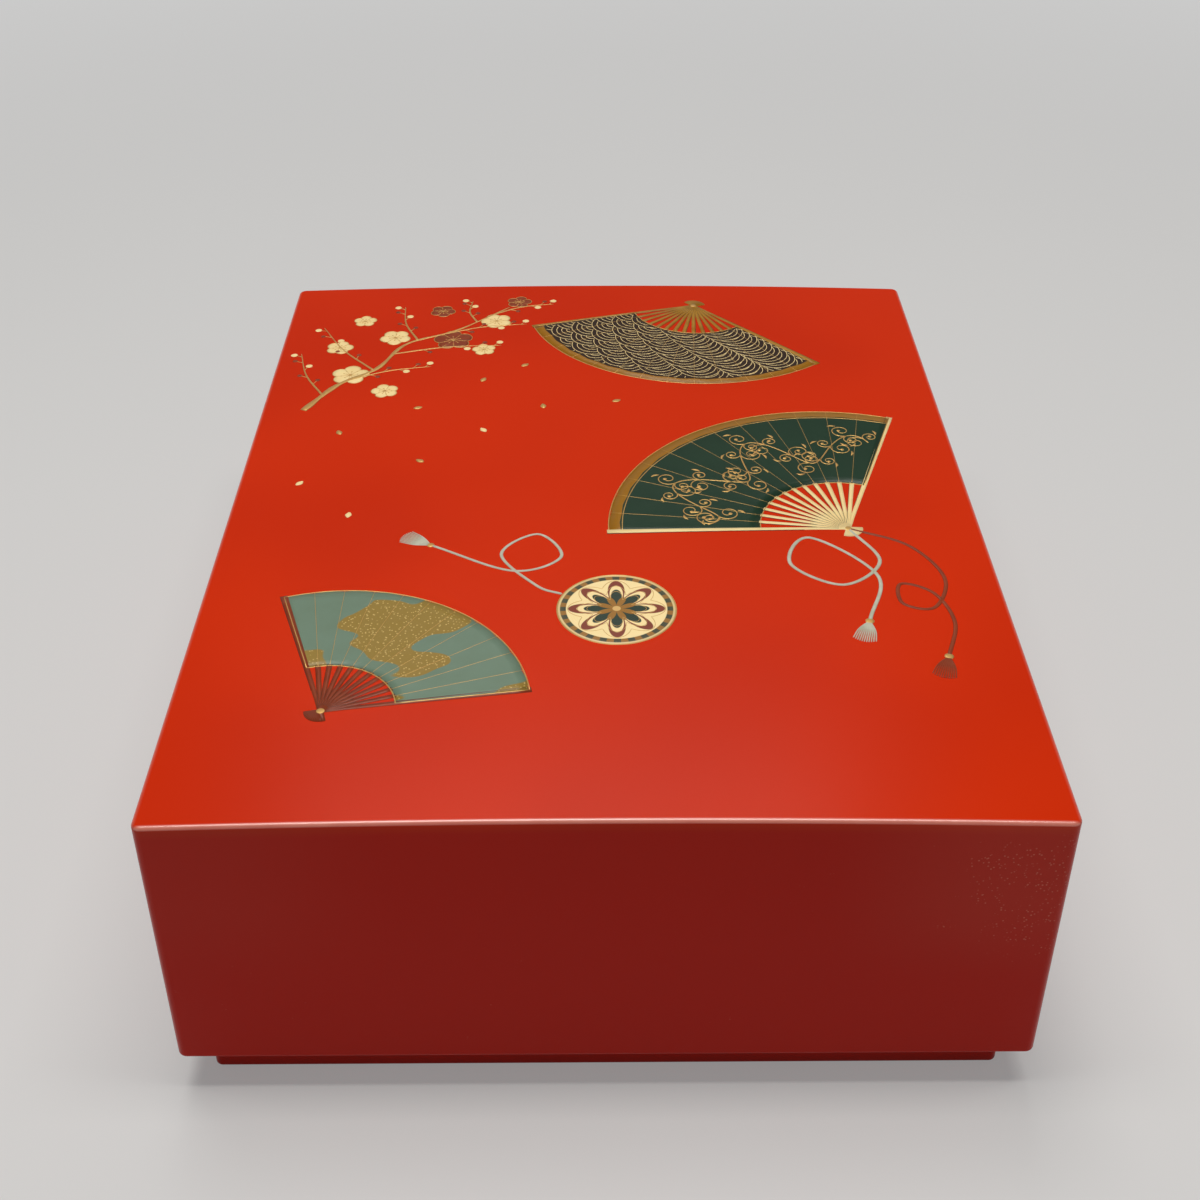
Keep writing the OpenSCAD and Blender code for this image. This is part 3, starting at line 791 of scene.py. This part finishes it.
def brush(number, finishes, knots):
    """One brush: handle, tail, collar, hair and cap, each turned round the brush's own axis.
    Knots are shares of the handle's length."""
    bamboo, horn, hair = finishes
    body = f"brush_{number}"
    low, high = extent(f"{body}_handle")
    axis = ((low[0] + high[0]) / 2, (low[2] + high[2]) / 2)

    def span(part):
        """A part's two ends along Y, and its radius."""
        low, high = extent(f"{body}_{part}")
        return low[1], high[1], (high[0] - low[0]) / 2

    def make(part, finish, slot, profile, rides):
        skin = turned(np.concatenate(profile), axis)
        piece(f"{body}_{part}_{slot}", [skin], [finish], rides, [f"{body}_{part}"])

    start, end, radius = span("handle")
    radius -= 0.3
    stem = knotted(start, end, 241, radius, start + (end - start) * np.array(knots))
    make("handle", bamboo, "bamboo", [[[start, 0], [start, radius - 0.2]], stem[1:-1],
                                      [[end, radius - 0.2], [end, 0]]], body)

    knob, _, knob_r = span("tail")
    dome_l, dome_r, dome = 2.2, 2.0, np.radians(np.linspace(90, 0, 9))
    dome = np.stack([knob + dome_l * (1 - np.sin(dome)), knob_r - dome_r * (1 - np.cos(dome))], -1)
    make("tail", horn, "horn", [[[knob, 0]], dome, [[start - 0.5, knob_r], [start, knob_r - 0.4],
                                                    [start, 0]]], body)

    _, mouth, ring_r = span("collar")
    seat_r = 3.45                # of the hole that the hair is glued in
    make("collar", horn, "horn", [[
        [end, 0], [end, ring_r - 0.5], [end + 0.3, ring_r - 0.1], [end + 0.7, ring_r],
        [end + 2.4, ring_r], [end + 2.6, ring_r - 0.15], [end + 2.9, ring_r - 0.15],
        [end + 3.1, ring_r], [mouth - 0.8, ring_r], [mouth - 0.3, ring_r - 0.2],
        [mouth, ring_r - 0.6], [mouth, seat_r], [mouth - 1.0, seat_r - 0.05],
        [mouth - 1.0, 0]]], body)

    hair_high = extent(f"{body}_hair")[1]
    tuft(body, hair, axis, mouth, hair_high[1], hair_high[0] - axis[0])

    near, far, outer = span("cap")
    outer -= 0.25
    inner = outer - 0.9
    shell = knotted(near + 0.3, far - 0.5, 81, outer, [far - 5.0])
    bore = [[far - 3.0, 0], [far - 3.0, inner - 0.6], [far - 3.6, inner], [near + 0.3, inner],
            [near, inner + 0.2], [near, outer - 0.3]]
    make("cap", bamboo, "bamboo", [bore, shell, [[far, outer - 0.6], [far, 0]]], f"{body}_cap")


def tuft(body, finish, axis, start, tip, belly_r):
    """Brush hair: a core with a full belly and a fine point, under strands that follow it. A
    strand is a three-sided needle that keeps to the core's radius and sways a little round it."""
    length = tip - start

    def body_radius(s):
        swell = 1 + 0.26 * np.sin(math.pi * s ** 0.8)
        return belly_r / 1.28 * swell * np.maximum(1 - s ** 2.6, 0) ** 0.75

    s = np.linspace(0, 0.985, 40)
    belly = np.stack([start + s * length, body_radius(s) * 0.94], -1)
    core = np.concatenate([[[start - 1.0, 0], [start - 1.0, 3.2]], belly, [[tip - 0.1, 0]]])
    count, rings = 170, 9
    angle = rng.uniform(0, TURN, count)[:, None, None]
    reach = rng.uniform(0.93, 1.0, count)[:, None, None]
    sway = rng.normal(0, 0.05, count)[:, None, None]
    along = np.linspace(0, 1, rings)[None, :, None] * reach
    around = (np.arange(3) * TURN / 3)[None, None, :]
    thick = 0.10 * (1 - 0.8 * along)
    out = body_radius(np.minimum(along, 0.985)) * 0.95 + thick * np.cos(around)
    turn = angle + sway * along + thick * np.sin(around) / np.maximum(out, 0.4)
    strands = about(axis, start - 0.8 + (length + 0.7) * along, out, turn)
    faces = grid_faces(rings, 3, closed=True)
    ends = np.array([[0, 1, 2, 2], [3 * rings - 1, 3 * rings - 2, 3 * rings - 3, 3 * rings - 3]])
    one = np.concatenate([faces, ends])
    every = (one[None] + (np.arange(count) * rings * 3)[:, None, None]).reshape(-1, 4)
    needles = strands.reshape(-1, 3), every, 0, np.zeros((count * rings * 3, 2))
    return piece(f"{body}_hair_combed", [turned(core, axis, 32), needles], [finish], body,
                 [f"{body}_hair"], 0.0001)


# ---------------------------------------------------------------- painting on the lid

SUNK = -0.04                     # how far a painted shape's edge runs under the lacquer


def on_ground(flat, lift, ground=lid_top):
    """Puts points of the plan on a ground, such as the lid's arched top, lift above it."""
    return raised(flat, ground(flat[..., 0]) + lift)


def slab(flat, lift, finish=0, uv=None, ground=lid_top):
    """A thin closed plate over a grid of plan points: its top is lift above the ground, its
    underside is sunk in it, and its rim joins the two."""
    top = on_ground(flat, lift, ground)
    bottom = on_ground(flat, SUNK, ground)
    rows, columns = flat.shape[:2]
    patches = [sheet(top, finish, uv=uv), sheet(bottom, finish, uv=uv)]
    coords = np.zeros(flat.shape) if uv is None else uv
    for line in ((slice(0, 1), slice(None)), (slice(rows - 1, rows), slice(None)),
                 (slice(None), slice(0, 1)), (slice(None), slice(columns - 1, columns))):
        upper, lower = top[line].reshape(-1, 3), bottom[line].reshape(-1, 3)
        edge = coords[line].reshape(-1, 2)
        patches.append(sheet(np.stack([upper, lower]), finish, uv=np.stack([edge, edge])))
    return patches


def stroke(path, width, lift=0.10, finish=0, ground=lid_top):
    """A painted line: a low flat-topped ridge carried along a path, closed at both ends. Width is
    one number or one for each point."""
    path = np.asarray(path, float)
    width = np.broadcast_to(np.asarray(width, float), (len(path),))
    along = np.gradient(path, axis=0)
    along /= np.maximum(np.linalg.norm(along, axis=1, keepdims=True), 1e-9)
    shares = np.array([-0.5, -0.28, 0.28, 0.5])[:, None]
    flat = path[:, None] + crosswise(along)[:, None] * shares * width[:, None, None]
    points = on_ground(flat, np.array([SUNK, lift, lift, SUNK]), ground)
    n = len(path) * 4
    faces = grid_faces(len(path), 4, closed=True)
    ends = np.array([[3, 2, 1, 0], [n - 4, n - 3, n - 2, n - 1]])
    return points.reshape(-1, 3), np.concatenate([faces, ends]), finish, np.zeros((n, 2))


def curve(points, steps=40):
    """A smooth path through a few points: a Catmull-Rom spline that goes straight on at its
    ends."""
    p = np.asarray(points, float)
    p = np.concatenate([2 * p[:1] - p[1:2], p, 2 * p[-1:] - p[-2:-1]])
    t = np.linspace(0, len(p) - 3, steps)
    k = np.minimum(t.astype(int), len(p) - 4)
    f = (t - k)[:, None]
    a, b, c, d = p[k], p[k + 1], p[k + 2], p[k + 3]
    return 0.5 * (2 * b + (c - a) * f + (2 * a - 5 * b + 4 * c - d) * f ** 2
                  + (3 * b - a - 3 * c + d) * f ** 3)


def dot(centre, radius, lift=0.12, finish=0, steps=12, ground=lid_top):
    """A round drop of paint: a low dome, closed underneath."""
    angle = np.linspace(0, TURN, steps, endpoint=False)
    rings = [(0.0, lift), (0.55, lift * 0.9), (0.85, lift * 0.55), (1.0, SUNK), (0.0, SUNK)]
    circle = polar(radius, angle)
    points = [on_ground(centre + circle * share, height, ground) for share, height in rings]
    return sheet(np.stack(points), finish, closed=True)


class Fan:
    """An open folding fan on the lid's plan: a pivot, two radii and two angles in degrees."""

    def __init__(self, name, pivot, inner, outer, start, end, folds, lift):
        self.name, self.folds, self.lift = name, folds, lift
        self.pivot, self.inner, self.outer = np.array(pivot, float), inner, outer
        self.start, self.end = start, end

    def at(self, share, radius):
        """The plan point at a share of the opening, 0 to 1, and a radius."""
        share, radius = np.broadcast_arrays(np.asarray(share, float), np.asarray(radius, float))
        angle = np.radians(self.start + (self.end - self.start) * share)
        return self.pivot + polar(radius, angle)

    def holds(self, path, inside, outside):
        """Whether a path stays on the paper: clear of its inner edge by inside, in millimetres,
        of its outer edge by a share of its height, and of its guards by a degree and a half."""
        off = path - self.pivot
        reach = np.linalg.norm(off, axis=1)
        angle = np.degrees(np.arctan2(off[:, 1], off[:, 0])) % 360
        limit = self.outer - (self.outer - self.inner) * outside
        across = angle.min() > self.start + 1.5 and angle.max() < self.end - 1.5
        return across and reach.min() > self.inner + inside and reach.max() < limit

    def leaf(self, finish):
        """The paper: a ring sector whose folds are a triangle wave in height and, a little, in
        reach."""
        u = np.linspace(0, 1, self.folds * 4 + 1)[None, :]
        v = np.linspace(0, 1, 13)[:, None]
        fold = np.abs((u * self.folds) % 1 * 2 - 1)
        reach = self.inner + (self.outer - self.inner) * v - 0.5 * fold * v
        uv = np.stack(np.broadcast_arrays(u, v), -1)
        patches = slab(self.at(u, reach), self.lift + 0.045 * fold, 0, uv)
        return piece(f"{self.name}_leaf", patches, [finish], "lid")

    def sticks(self, wood, gold, seam):
        """The sticks: slim slabs that fan out from the pivot, each with a dark seam on one side,
        two guards to the full reach, and a pin."""
        patches = []
        for k in range(self.folds + 1):
            guard = k in (0, self.folds)
            end = self.outer + 0.6 if guard else self.inner + 0.5
            radius = np.linspace(-5.0, end, 14)
            width = np.interp(radius, [-5, -2, 6, end], [1.2, 2.0, 1.4, 2.4 if guard else 1.7])
            turn = math.radians(self.start + (self.end - self.start) * k / self.folds)
            half = crosswise(polar(1, turn)) * width[:, None] / 2
            middle = self.at(k / self.folds, radius)
            lift = self.lift + 0.035 + 0.003 * k
            patches += slab(np.stack([middle - half, middle + half]), lift, 0)
            patches.append(stroke((middle + half)[3:], 0.20, lift + 0.01, 2))
        patches.append(dot(self.pivot, 1.5, self.lift + 0.13, 1))
        return piece(f"{self.name}_sticks", patches, [wood, gold, seam], "lid")

    def outline(self, inside=()):
        """Gold lines along the paper's edges and its folds, and at shares of its height."""
        lift, edge_width, fold_width = self.lift + 0.07, 0.5, 0.22
        share = np.linspace(0, 1, 60)
        span = self.outer - self.inner
        reaches = [self.outer, self.inner] + [self.inner + span * v for v in inside]
        lines = [stroke(self.at(share, reach), edge_width, lift) for reach in reaches]
        radius = np.linspace(self.inner, self.outer, 14)
        for k in range(self.folds + 1):
            width = edge_width if k in (0, self.folds) else fold_width
            lines.append(stroke(self.at(k / self.folds, radius), width, lift))
        return lines


def vine(fan, turns, bends):
    """Arabesque on a fan: a stem that waves across the paper in so many turns, each with so many
    bends, where a curl and a leaf grow on each side. A curl winds in, its radius falling evenly."""
    lift = fan.lift + 0.08
    span = fan.outer - fan.inner

    def stem(share):
        return fan.at(share, fan.inner + span * (0.47 + 0.20 * np.sin(share * turns * TURN)))

    lines = [stroke(stem(np.linspace(0.035, 0.965, 200)), 0.70, lift)]
    count = turns * bends
    for k in range(count):
        here = 0.05 + 0.90 * k / (count - 1)
        start, ahead = stem(np.array([here, here + 0.004]))
        tangent = (ahead - start) / np.linalg.norm(ahead - start)
        for side in (1, -1):
            normal = crosswise(tangent) * side
            size = 4.1 if (k + (side > 0)) % 2 else 3.0
            t = np.linspace(0, 1, 34)
            angle = math.atan2(-normal[1], -normal[0]) + side * t * 1.35 * TURN
            radius = size * (1 - 0.78 * t)
            curl = start + normal * size + polar(radius, angle)
            if not fan.holds(curl, 0.9, 0.12):
                continue
            lines.append(stroke(curl, np.linspace(0.62, 0.42, 34), lift))
            lines.append(dot(curl[-1], 0.80, lift + 0.03, steps=10))
            root = start + normal * size * 1.95
            leaf = curve([root, root + normal * 1.0 + tangent * 1.3,
                          root + normal * 1.2 + tangent * 3.0], 8)
            if fan.holds(leaf, 0.9, 0.11):
                lines.append(stroke(leaf, [0.3, 0.6, 1.0, 1.3, 1.3, 1.0, 0.6, 0.2], lift))
    return lines


def waves(fan, size=8.6):
    """Overlapping scales of concentric arcs on a fan, in rows along it. An arc shows where it is
    outside every scale of the row below it and inside the paper."""
    lift = fan.lift + 0.07
    low, high = fan.inner + 0.9, fan.inner + (fan.outer - fan.inner) * 0.905
    rows = []
    row_radius, k = fan.inner - size, 0
    while row_radius < high:
        step = math.degrees(2 * size / max(row_radius + size * 0.5, 1.0))
        angles = np.arange(fan.start - step + (k % 2) * step / 2, fan.end + step, step)
        rows.append((row_radius, np.radians(angles)))
        row_radius += size * 0.5
        k += 1
    theta = np.linspace(-0.15, math.pi + 0.15, 30)
    lines = []
    below = np.zeros((0, 2))
    for row_radius, angles in rows:
        outward = polar(1, angles)
        middles = fan.pivot + outward * row_radius
        for middle, out, side in zip(middles, outward, crosswise(outward)):
            scale = size * (np.cos(theta)[:, None] * side + np.sin(theta)[:, None] * out)
            for share in (1.0, 0.76, 0.52, 0.28):
                arc = middle + scale * share
                off = arc - fan.pivot
                reach = np.linalg.norm(off, axis=1)
                angle = np.degrees(np.arctan2(off[:, 1], off[:, 0])) % 360
                seen = (reach > low) & (reach < high)
                seen &= (angle > fan.start + 0.6) & (angle < fan.end - 0.6)
                if len(below):
                    gap = np.linalg.norm(arc[:, None] - below[None], axis=2).min(1)
                    seen &= gap > size * 1.01
                lines += [stroke(arc[run], 0.34, lift) for run in runs_of(seen)]
        below = middles
    return lines


def runs_of(seen):
    """The index runs, four points or longer, over which a mask is true."""
    edges = np.flatnonzero(np.diff(np.concatenate([[0], seen.astype(int), [0]])))
    return [np.arange(a, b) for a, b in edges.reshape(-1, 2) if b - a >= 4]


def blossom(centre, radius, turn, petals_finish, gold_finish):
    """A plum flower with a gold outline and a ring of stamens."""
    edge = lobed(radius, turn)
    share = np.linspace(0.02, 1, 5)[:, None, None]
    patches = slab(centre + edge[None] * share, 0.07, petals_finish)
    patches.append(stroke(centre + edge, 0.36, 0.11, gold_finish))
    for k in range(5):
        ray = polar(radius, turn + (k + 0.5) * TURN / 5)
        patches.append(stroke(straight(centre, ray, 0.50, 0.72, 4), 0.30, 0.11, gold_finish))
    for k in range(10):
        ray = polar(radius, turn + k * TURN / 10)
        length = 0.48 if k % 2 else 0.38
        patches.append(stroke(straight(centre, ray, 0.06, length, 4), 0.24, 0.12, gold_finish))
        patches.append(dot(centre + ray * length, 0.36, 0.15, gold_finish, 8))
    patches.append(dot(centre, radius * 0.12, 0.14, gold_finish))
    return patches


def plum_branch(cream, russet, gold):
    """A branch that swells and thins, with side shoots, flowers, round buds and fallen petals."""
    trunk = curve([(-114, 62), (-103, 82), (-89, 95), (-79, 116), (-59, 128), (-38, 149)], 90)
    width = np.linspace(3.0, 0.8, 90) * (1 + 0.18 * np.sin(np.arange(90) * 0.55))
    patches = [stroke(trunk, width, 0.12, 2)]
    shoots = [(10, 110, 38), (22, 18, 34), (34, 122, 46), (46, 8, 44), (58, 104, 32),
              (66, 14, 36), (78, 98, 20), (84, 20, 26)]
    for index, heading, length in shoots:
        base, ray = trunk[index], polar(1, math.radians(heading))
        side = crosswise(ray)
        shoot = curve([base, base + ray * length * 0.5 + side * 2.2, base + ray * length], 30)
        patches.append(stroke(shoot, np.linspace(1.2, 0.4, 30), 0.11, 2))
        for k in (8, 13, 18, 23, 27):
            lean = side if k % 2 else -side
            twig = straight(shoot[k], ray * 0.8 + lean * 0.75, 0, 3.4, 5)
            patches.append(stroke(twig, np.linspace(0.5, 0.3, 5), 0.10, 2))
            patches.append(dot(twig[-1], 1.1 if k % 3 else 1.5, 0.15, 1 if k % 3 else 0))
    flowers = [(-99, 90, 7.6, 0.2), (-84, 122, 6.4, 0.9), (-60, 119, 8.0, 0.4),
               (-106, 114, 5.6, 1.3), (-43, 136, 6.4, 0.7), (-34, 154, 5.2, 0.1),
               (-84, 76, 5.4, 0.6), (-98, 138, 4.8, 0.3), (-66, 146, 5.2, 1.1),
               (-47, 110, 4.8, 0.5)]
    for number, (x, y, radius, turn) in enumerate(flowers):
        patches += blossom(np.array([x, y], float), radius, turn, 1 if number % 3 == 2 else 0, 2)
    fallen = [(-70, 62, 0.3), (-46, 84, 1.2), (-98, 44, 2.0), (-30, 96, 0.7), (-66, 22, 2.6),
              (-22, 62, 1.7), (-108, 8, 0.9), (-44, 44, 2.2), (6, 66, 0.4), (-88, -14, 1.5)]
    for x, y, turn in fallen:
        petal = straight(np.array([x, y]), polar(1, turn), -1.7, 1.7, 8)
        width = [0.5, 1.5, 2.2, 2.6, 2.6, 2.2, 1.6, 0.8]
        patches.append(stroke(petal, width, 0.10, 2 if x % 4 else 0))
    return piece("plum_branch", patches, [cream, russet, gold], "lid")


def cord(name, points, finish, gold, width=1.5):
    """A silk cord that ends in a tassel: the cord is a wide stroke, the tassel a knot and strands
    that spread from it."""
    path = curve(points, 70)
    patches = [stroke(path, width, 0.13, 0)]
    heading = path[-1] - path[-3]
    heading /= np.linalg.norm(heading)
    side = crosswise(heading)
    patches.append(dot(path[-1], width * 1.05, 0.18, 1))
    for k in range(11):
        spread = (k - 5) / 5
        end = path[-1] + heading * (11.5 - 1.2 * spread ** 2) + side * spread * 3.6
        bend = path[-1] + heading * 5 + side * spread * 2.6
        strand = curve([path[-1], bend, end], 14)
        patches.append(stroke(strand, np.linspace(0.75, 0.45, 14), 0.11 + 0.01 * (k % 2), 0))
    return piece(name, patches, [finish, gold], "lid")


def thread_ball(centre, radius, threads, gold):
    """A ball wound with thread: a low dome, with its outline and three bands of gold thread."""
    share = np.linspace(0, 1, 14)
    angle = np.linspace(0, TURN, 72, endpoint=False)
    disc = polar(1, angle)
    flat = np.array(centre) + disc[None] * (radius * share)[:, None, None]
    dome = (0.05 + 0.11 * np.sqrt(1 - share ** 2))[:, None]
    uv = disc[None] * share[:, None, None]
    underside = [on_ground(flat[-1:], SUNK), on_ground(flat[:1], SUNK)]
    points = np.concatenate([on_ground(flat, dome), *underside])
    uv = np.concatenate([uv, uv[-1:], uv[:1]])
    patches = [sheet(points, 0, closed=True, uv=uv)]
    loop = np.linspace(0, TURN, 160)
    for reach, depth in ((0.82, 0.10), (0.66, 0.12), (0.50, 0.12)):
        petal = radius * (reach - depth + depth * 2 * (np.abs(np.cos(4 * loop)) - 0.5))
        patches.append(stroke(centre + polar(petal, loop), 0.30, 0.17, 1))
    patches.append(stroke(centre + polar(radius, loop), 0.55, 0.10, 1))
    return piece("thread_ball", patches, [threads, gold], "lid")


def paint_lid(gold):
    """Three fans, a thread ball, cords and a plum branch, in raised lacquer and gold."""
    cream = paint("cream_paint", CREAM, (0.82, 0.61, 0.27))
    russet = paint("russet_paint", RUSSET, (0.26, 0.045, 0.012))
    ash = paint("ash_paint", ASH, (0.52, 0.52, 0.42), 4.0)
    ochre = paint("ochre_paint", OCHRE, (0.40, 0.20, 0.02))
    seam = paint("seam_paint", BROWN_BLACK, (0.03, 0.014, 0.008))

    dark = Fan("dark_fan", (40, 150), inner=26, outer=70, start=196, end=312, folds=13, lift=0.02)
    dark.leaf(banded_paper("leaf_brown", BROWN_BLACK, (0.034, 0.016, 0.009), 12, 0.915))
    dark.sticks(ochre, gold, seam)
    piece("dark_fan_waves", waves(dark), [cream], "lid")
    piece("dark_fan_gold", dark.outline(), [gold], "lid")

    green = Fan("green_fan", (84, -24), inner=30, outer=82, start=72, end=182, folds=13, lift=0.05)
    green.leaf(banded_paper("leaf_green", PINE_GREEN, (0.010, 0.038, 0.018), 14, 0.925))
    green.sticks(cream, gold, seam)
    piece("green_fan_gold", green.outline(inside=[0.91]) + vine(green, 3, 6), [gold], "lid")

    teal = Fan("teal_fan", (-84, -122), inner=22, outer=62, start=8, end=108, folds=11, lift=0.02)
    teal.leaf(clouded_paper())
    teal.sticks(russet, gold, seam)
    piece("teal_fan_gold", teal.outline(), [gold], "lid")

    plum_branch(cream, russet, gold)
    thread_ball((4, -72), 19, ball_threads(), gold)
    cord("ash_cord", [(84, -24), (92, -44), (78, -58), (62, -46), (70, -30), (90, -52),
                      (84, -78)], ash, gold)
    cord("russet_cord", [(84, -24), (103, -34), (112, -53), (106, -70), (96, -68), (97, -57),
                         (107, -62), (111, -78), (106, -96)], russet, gold)
    cord("ball_cord", [(-13.6, -63.6), (-22, -58.5), (-34, -40), (-22, -28), (-14, -42),
                       (-30, -50), (-58, -34)], ash, gold, 1.3)


# ---------------------------------------------------------------- stage, lights and camera

WHITE = (1, 1, 1, 1)
PALE = 0.66                      # how bright the sky's foot and the far floor look
LENS_MM, SENSOR_MM = 51.095, 36.0
CAMERA_PLACE = (-4.57, -513.60, 424.18)          # millimetres
CAMERA_DOWN, CAMERA_ROUND = 35.177, -0.425       # degrees


def stage():
    """A pale floor and sky. Camera, glossy and transmission rays see a share of white on the
    floor near the box, and see it as pale as the sky's foot far from it. No light comes from
    either of these."""
    f = Finish("pale_floor")
    at = f.place()
    colour = f.mix(f.noise(at, 400, 2.0), (0.50, 0.50, 0.497), (0.53, 0.53, 0.527))
    cloth = f.node("ShaderNodeBsdfPrincipled", {"Base Color": colour, "Roughness": 0.8})
    white = f.node("ShaderNodeEmission", {"Color": WHITE, "Strength": 1.0})
    far = f.node("ShaderNodeEmission", {"Color": WHITE, "Strength": PALE})
    x, y, _ = f.axes(at)
    camera_ray, glossy_ray, through_ray = (
        f.node("ShaderNodeLightPath", out=f"Is {kind} Ray")
        for kind in ("Camera", "Glossy", "Transmission"))
    seen = f.math("MAXIMUM", camera_ray, f.math("MAXIMUM", glossy_ray, through_ray))
    distance = (x * x + y * y) ** 0.5
    near = f.node("ShaderNodeMixShader", {0: seen * 0.24, 1: cloth, 2: white})
    away = seen * f.ramp(distance, 0.4, 1.7)
    shown = f.node("ShaderNodeMixShader", {0: away, 1: near, 2: far})
    f.node("ShaderNodeOutputMaterial", {"Surface": shown})
    edge = 40.0                  # metres from the middle
    mesh = bpy.data.meshes.new("floor")
    mesh.from_pydata([(-edge, -edge, 0), (edge, -edge, 0), (edge, edge, 0), (-edge, edge, 0)], [],
                     [(0, 1, 2, 3)])
    mesh.materials.append(f.material)
    added("floor", mesh)

    sky = Finish("studio", bpy.data.worlds.new("studio"))
    bpy.context.scene.world = sky.material
    _, _, height = sky.axes(sky.node("ShaderNodeTexCoord", out=0))
    strength = sky.ramp(height, 0.14, 0.04, 0.12, PALE)
    shade = sky.node("ShaderNodeBackground", {"Color": WHITE, "Strength": strength})
    sky.node("ShaderNodeOutputWorld", {"Surface": shade})


def facing(direction):
    """The rotation that turns a lamp to a direction."""
    return direction.to_track_quat("-Z", "Y").to_euler()


def lamp(name, place_mm, aim_mm, size_mm, watts):
    """A rectangular soft lamp that faces the point it is aimed at."""
    data = bpy.data.lights.new(name, "AREA")
    data.shape = "RECTANGLE"
    data.size, data.size_y = (s * MM for s in size_mm)
    data.energy = watts
    data.color = (1.0, 0.97, 0.93)
    added(name, data, place_mm, facing(Vector(aim_mm) - Vector(place_mm)))


def ceiling(towards, spread_degrees, strength):
    """The main light: a wide, far disc of light in the direction given."""
    data = bpy.data.lights.new("ceiling", "SUN")
    data.angle = math.radians(spread_degrees)
    data.energy = strength
    data.color = (1.0, 0.98, 0.95)
    added("ceiling", data, rotation=facing(-Vector(towards)))


def camera():
    """The photograph's view: 35 degrees down on the front, a little left of the middle."""
    data = bpy.data.cameras.new("camera")
    data.sensor_width, data.lens = SENSOR_MM, LENS_MM
    turn = (math.radians(90 - CAMERA_DOWN), 0.0, math.radians(CAMERA_ROUND))
    bpy.context.scene.camera = added("camera", data, CAMERA_PLACE, turn)


# ---------------------------------------------------------------- putting it together

camera()
stage()
ceiling((-0.10, 0.30, 1.0), 20, 0.75)
lamp("overhead", (0, -150, 1500), (0, -150, 60), (1300, 300), 14.4)
lamp("behind", (-35, 1150, 1440), (-20, -60, 100), (850, 300), 2.95)

red, black = vermilion_lacquer(), black_lacquer()
lid_coat([red, black])
case_nodes = box_nodes("case", "floor_panel", "corner_slips")
open_box_coat("case", case_nodes, CASE_CORNER_R, 1.5, [red, black])
open_box_coat("tray", box_nodes("tray", "floor_board"), 2.0, 1.2, [black])
board_edge, rest_edge, copper_edge = 0.8, 0.6, 0.35
for side in ("left", "right"):
    softened(f"partition_{side}_rounded", [f"tray_partition_{side}"], board_edge, black, "tray")
    softened(f"ledge_{side}_rounded", [f"tray_ledge_{side}"], board_edge, black, "case")
softened("inkstone_bed_rounded", ["inkstone_bed"], board_edge, gold_flecked_lacquer(), "tray")
softened("brush_rests_rounded", ["brush_rest_front", "brush_rest_back"], rest_edge, black,
         "tray")
stone(honed_slate())
copper = brown_copper()
for part in ("cup", "top"):
    softened(f"dropper_{part}_rounded", [f"dropper_{part}"], copper_edge, copper, "dropper")
dropper_relief(copper)
gold = gold_powder()
stick(ink_soot())
gilding(gold)
brush_finishes = (bamboo_skin(), dark_horn(), goat_hair())
brush(1, brush_finishes, knots=(0.17, 0.45, 0.78))
brush(2, brush_finishes, knots=(0.09, 0.36, 0.68))
paint_lid(gold)

bpy.context.scene.view_settings.view_transform = "Standard"
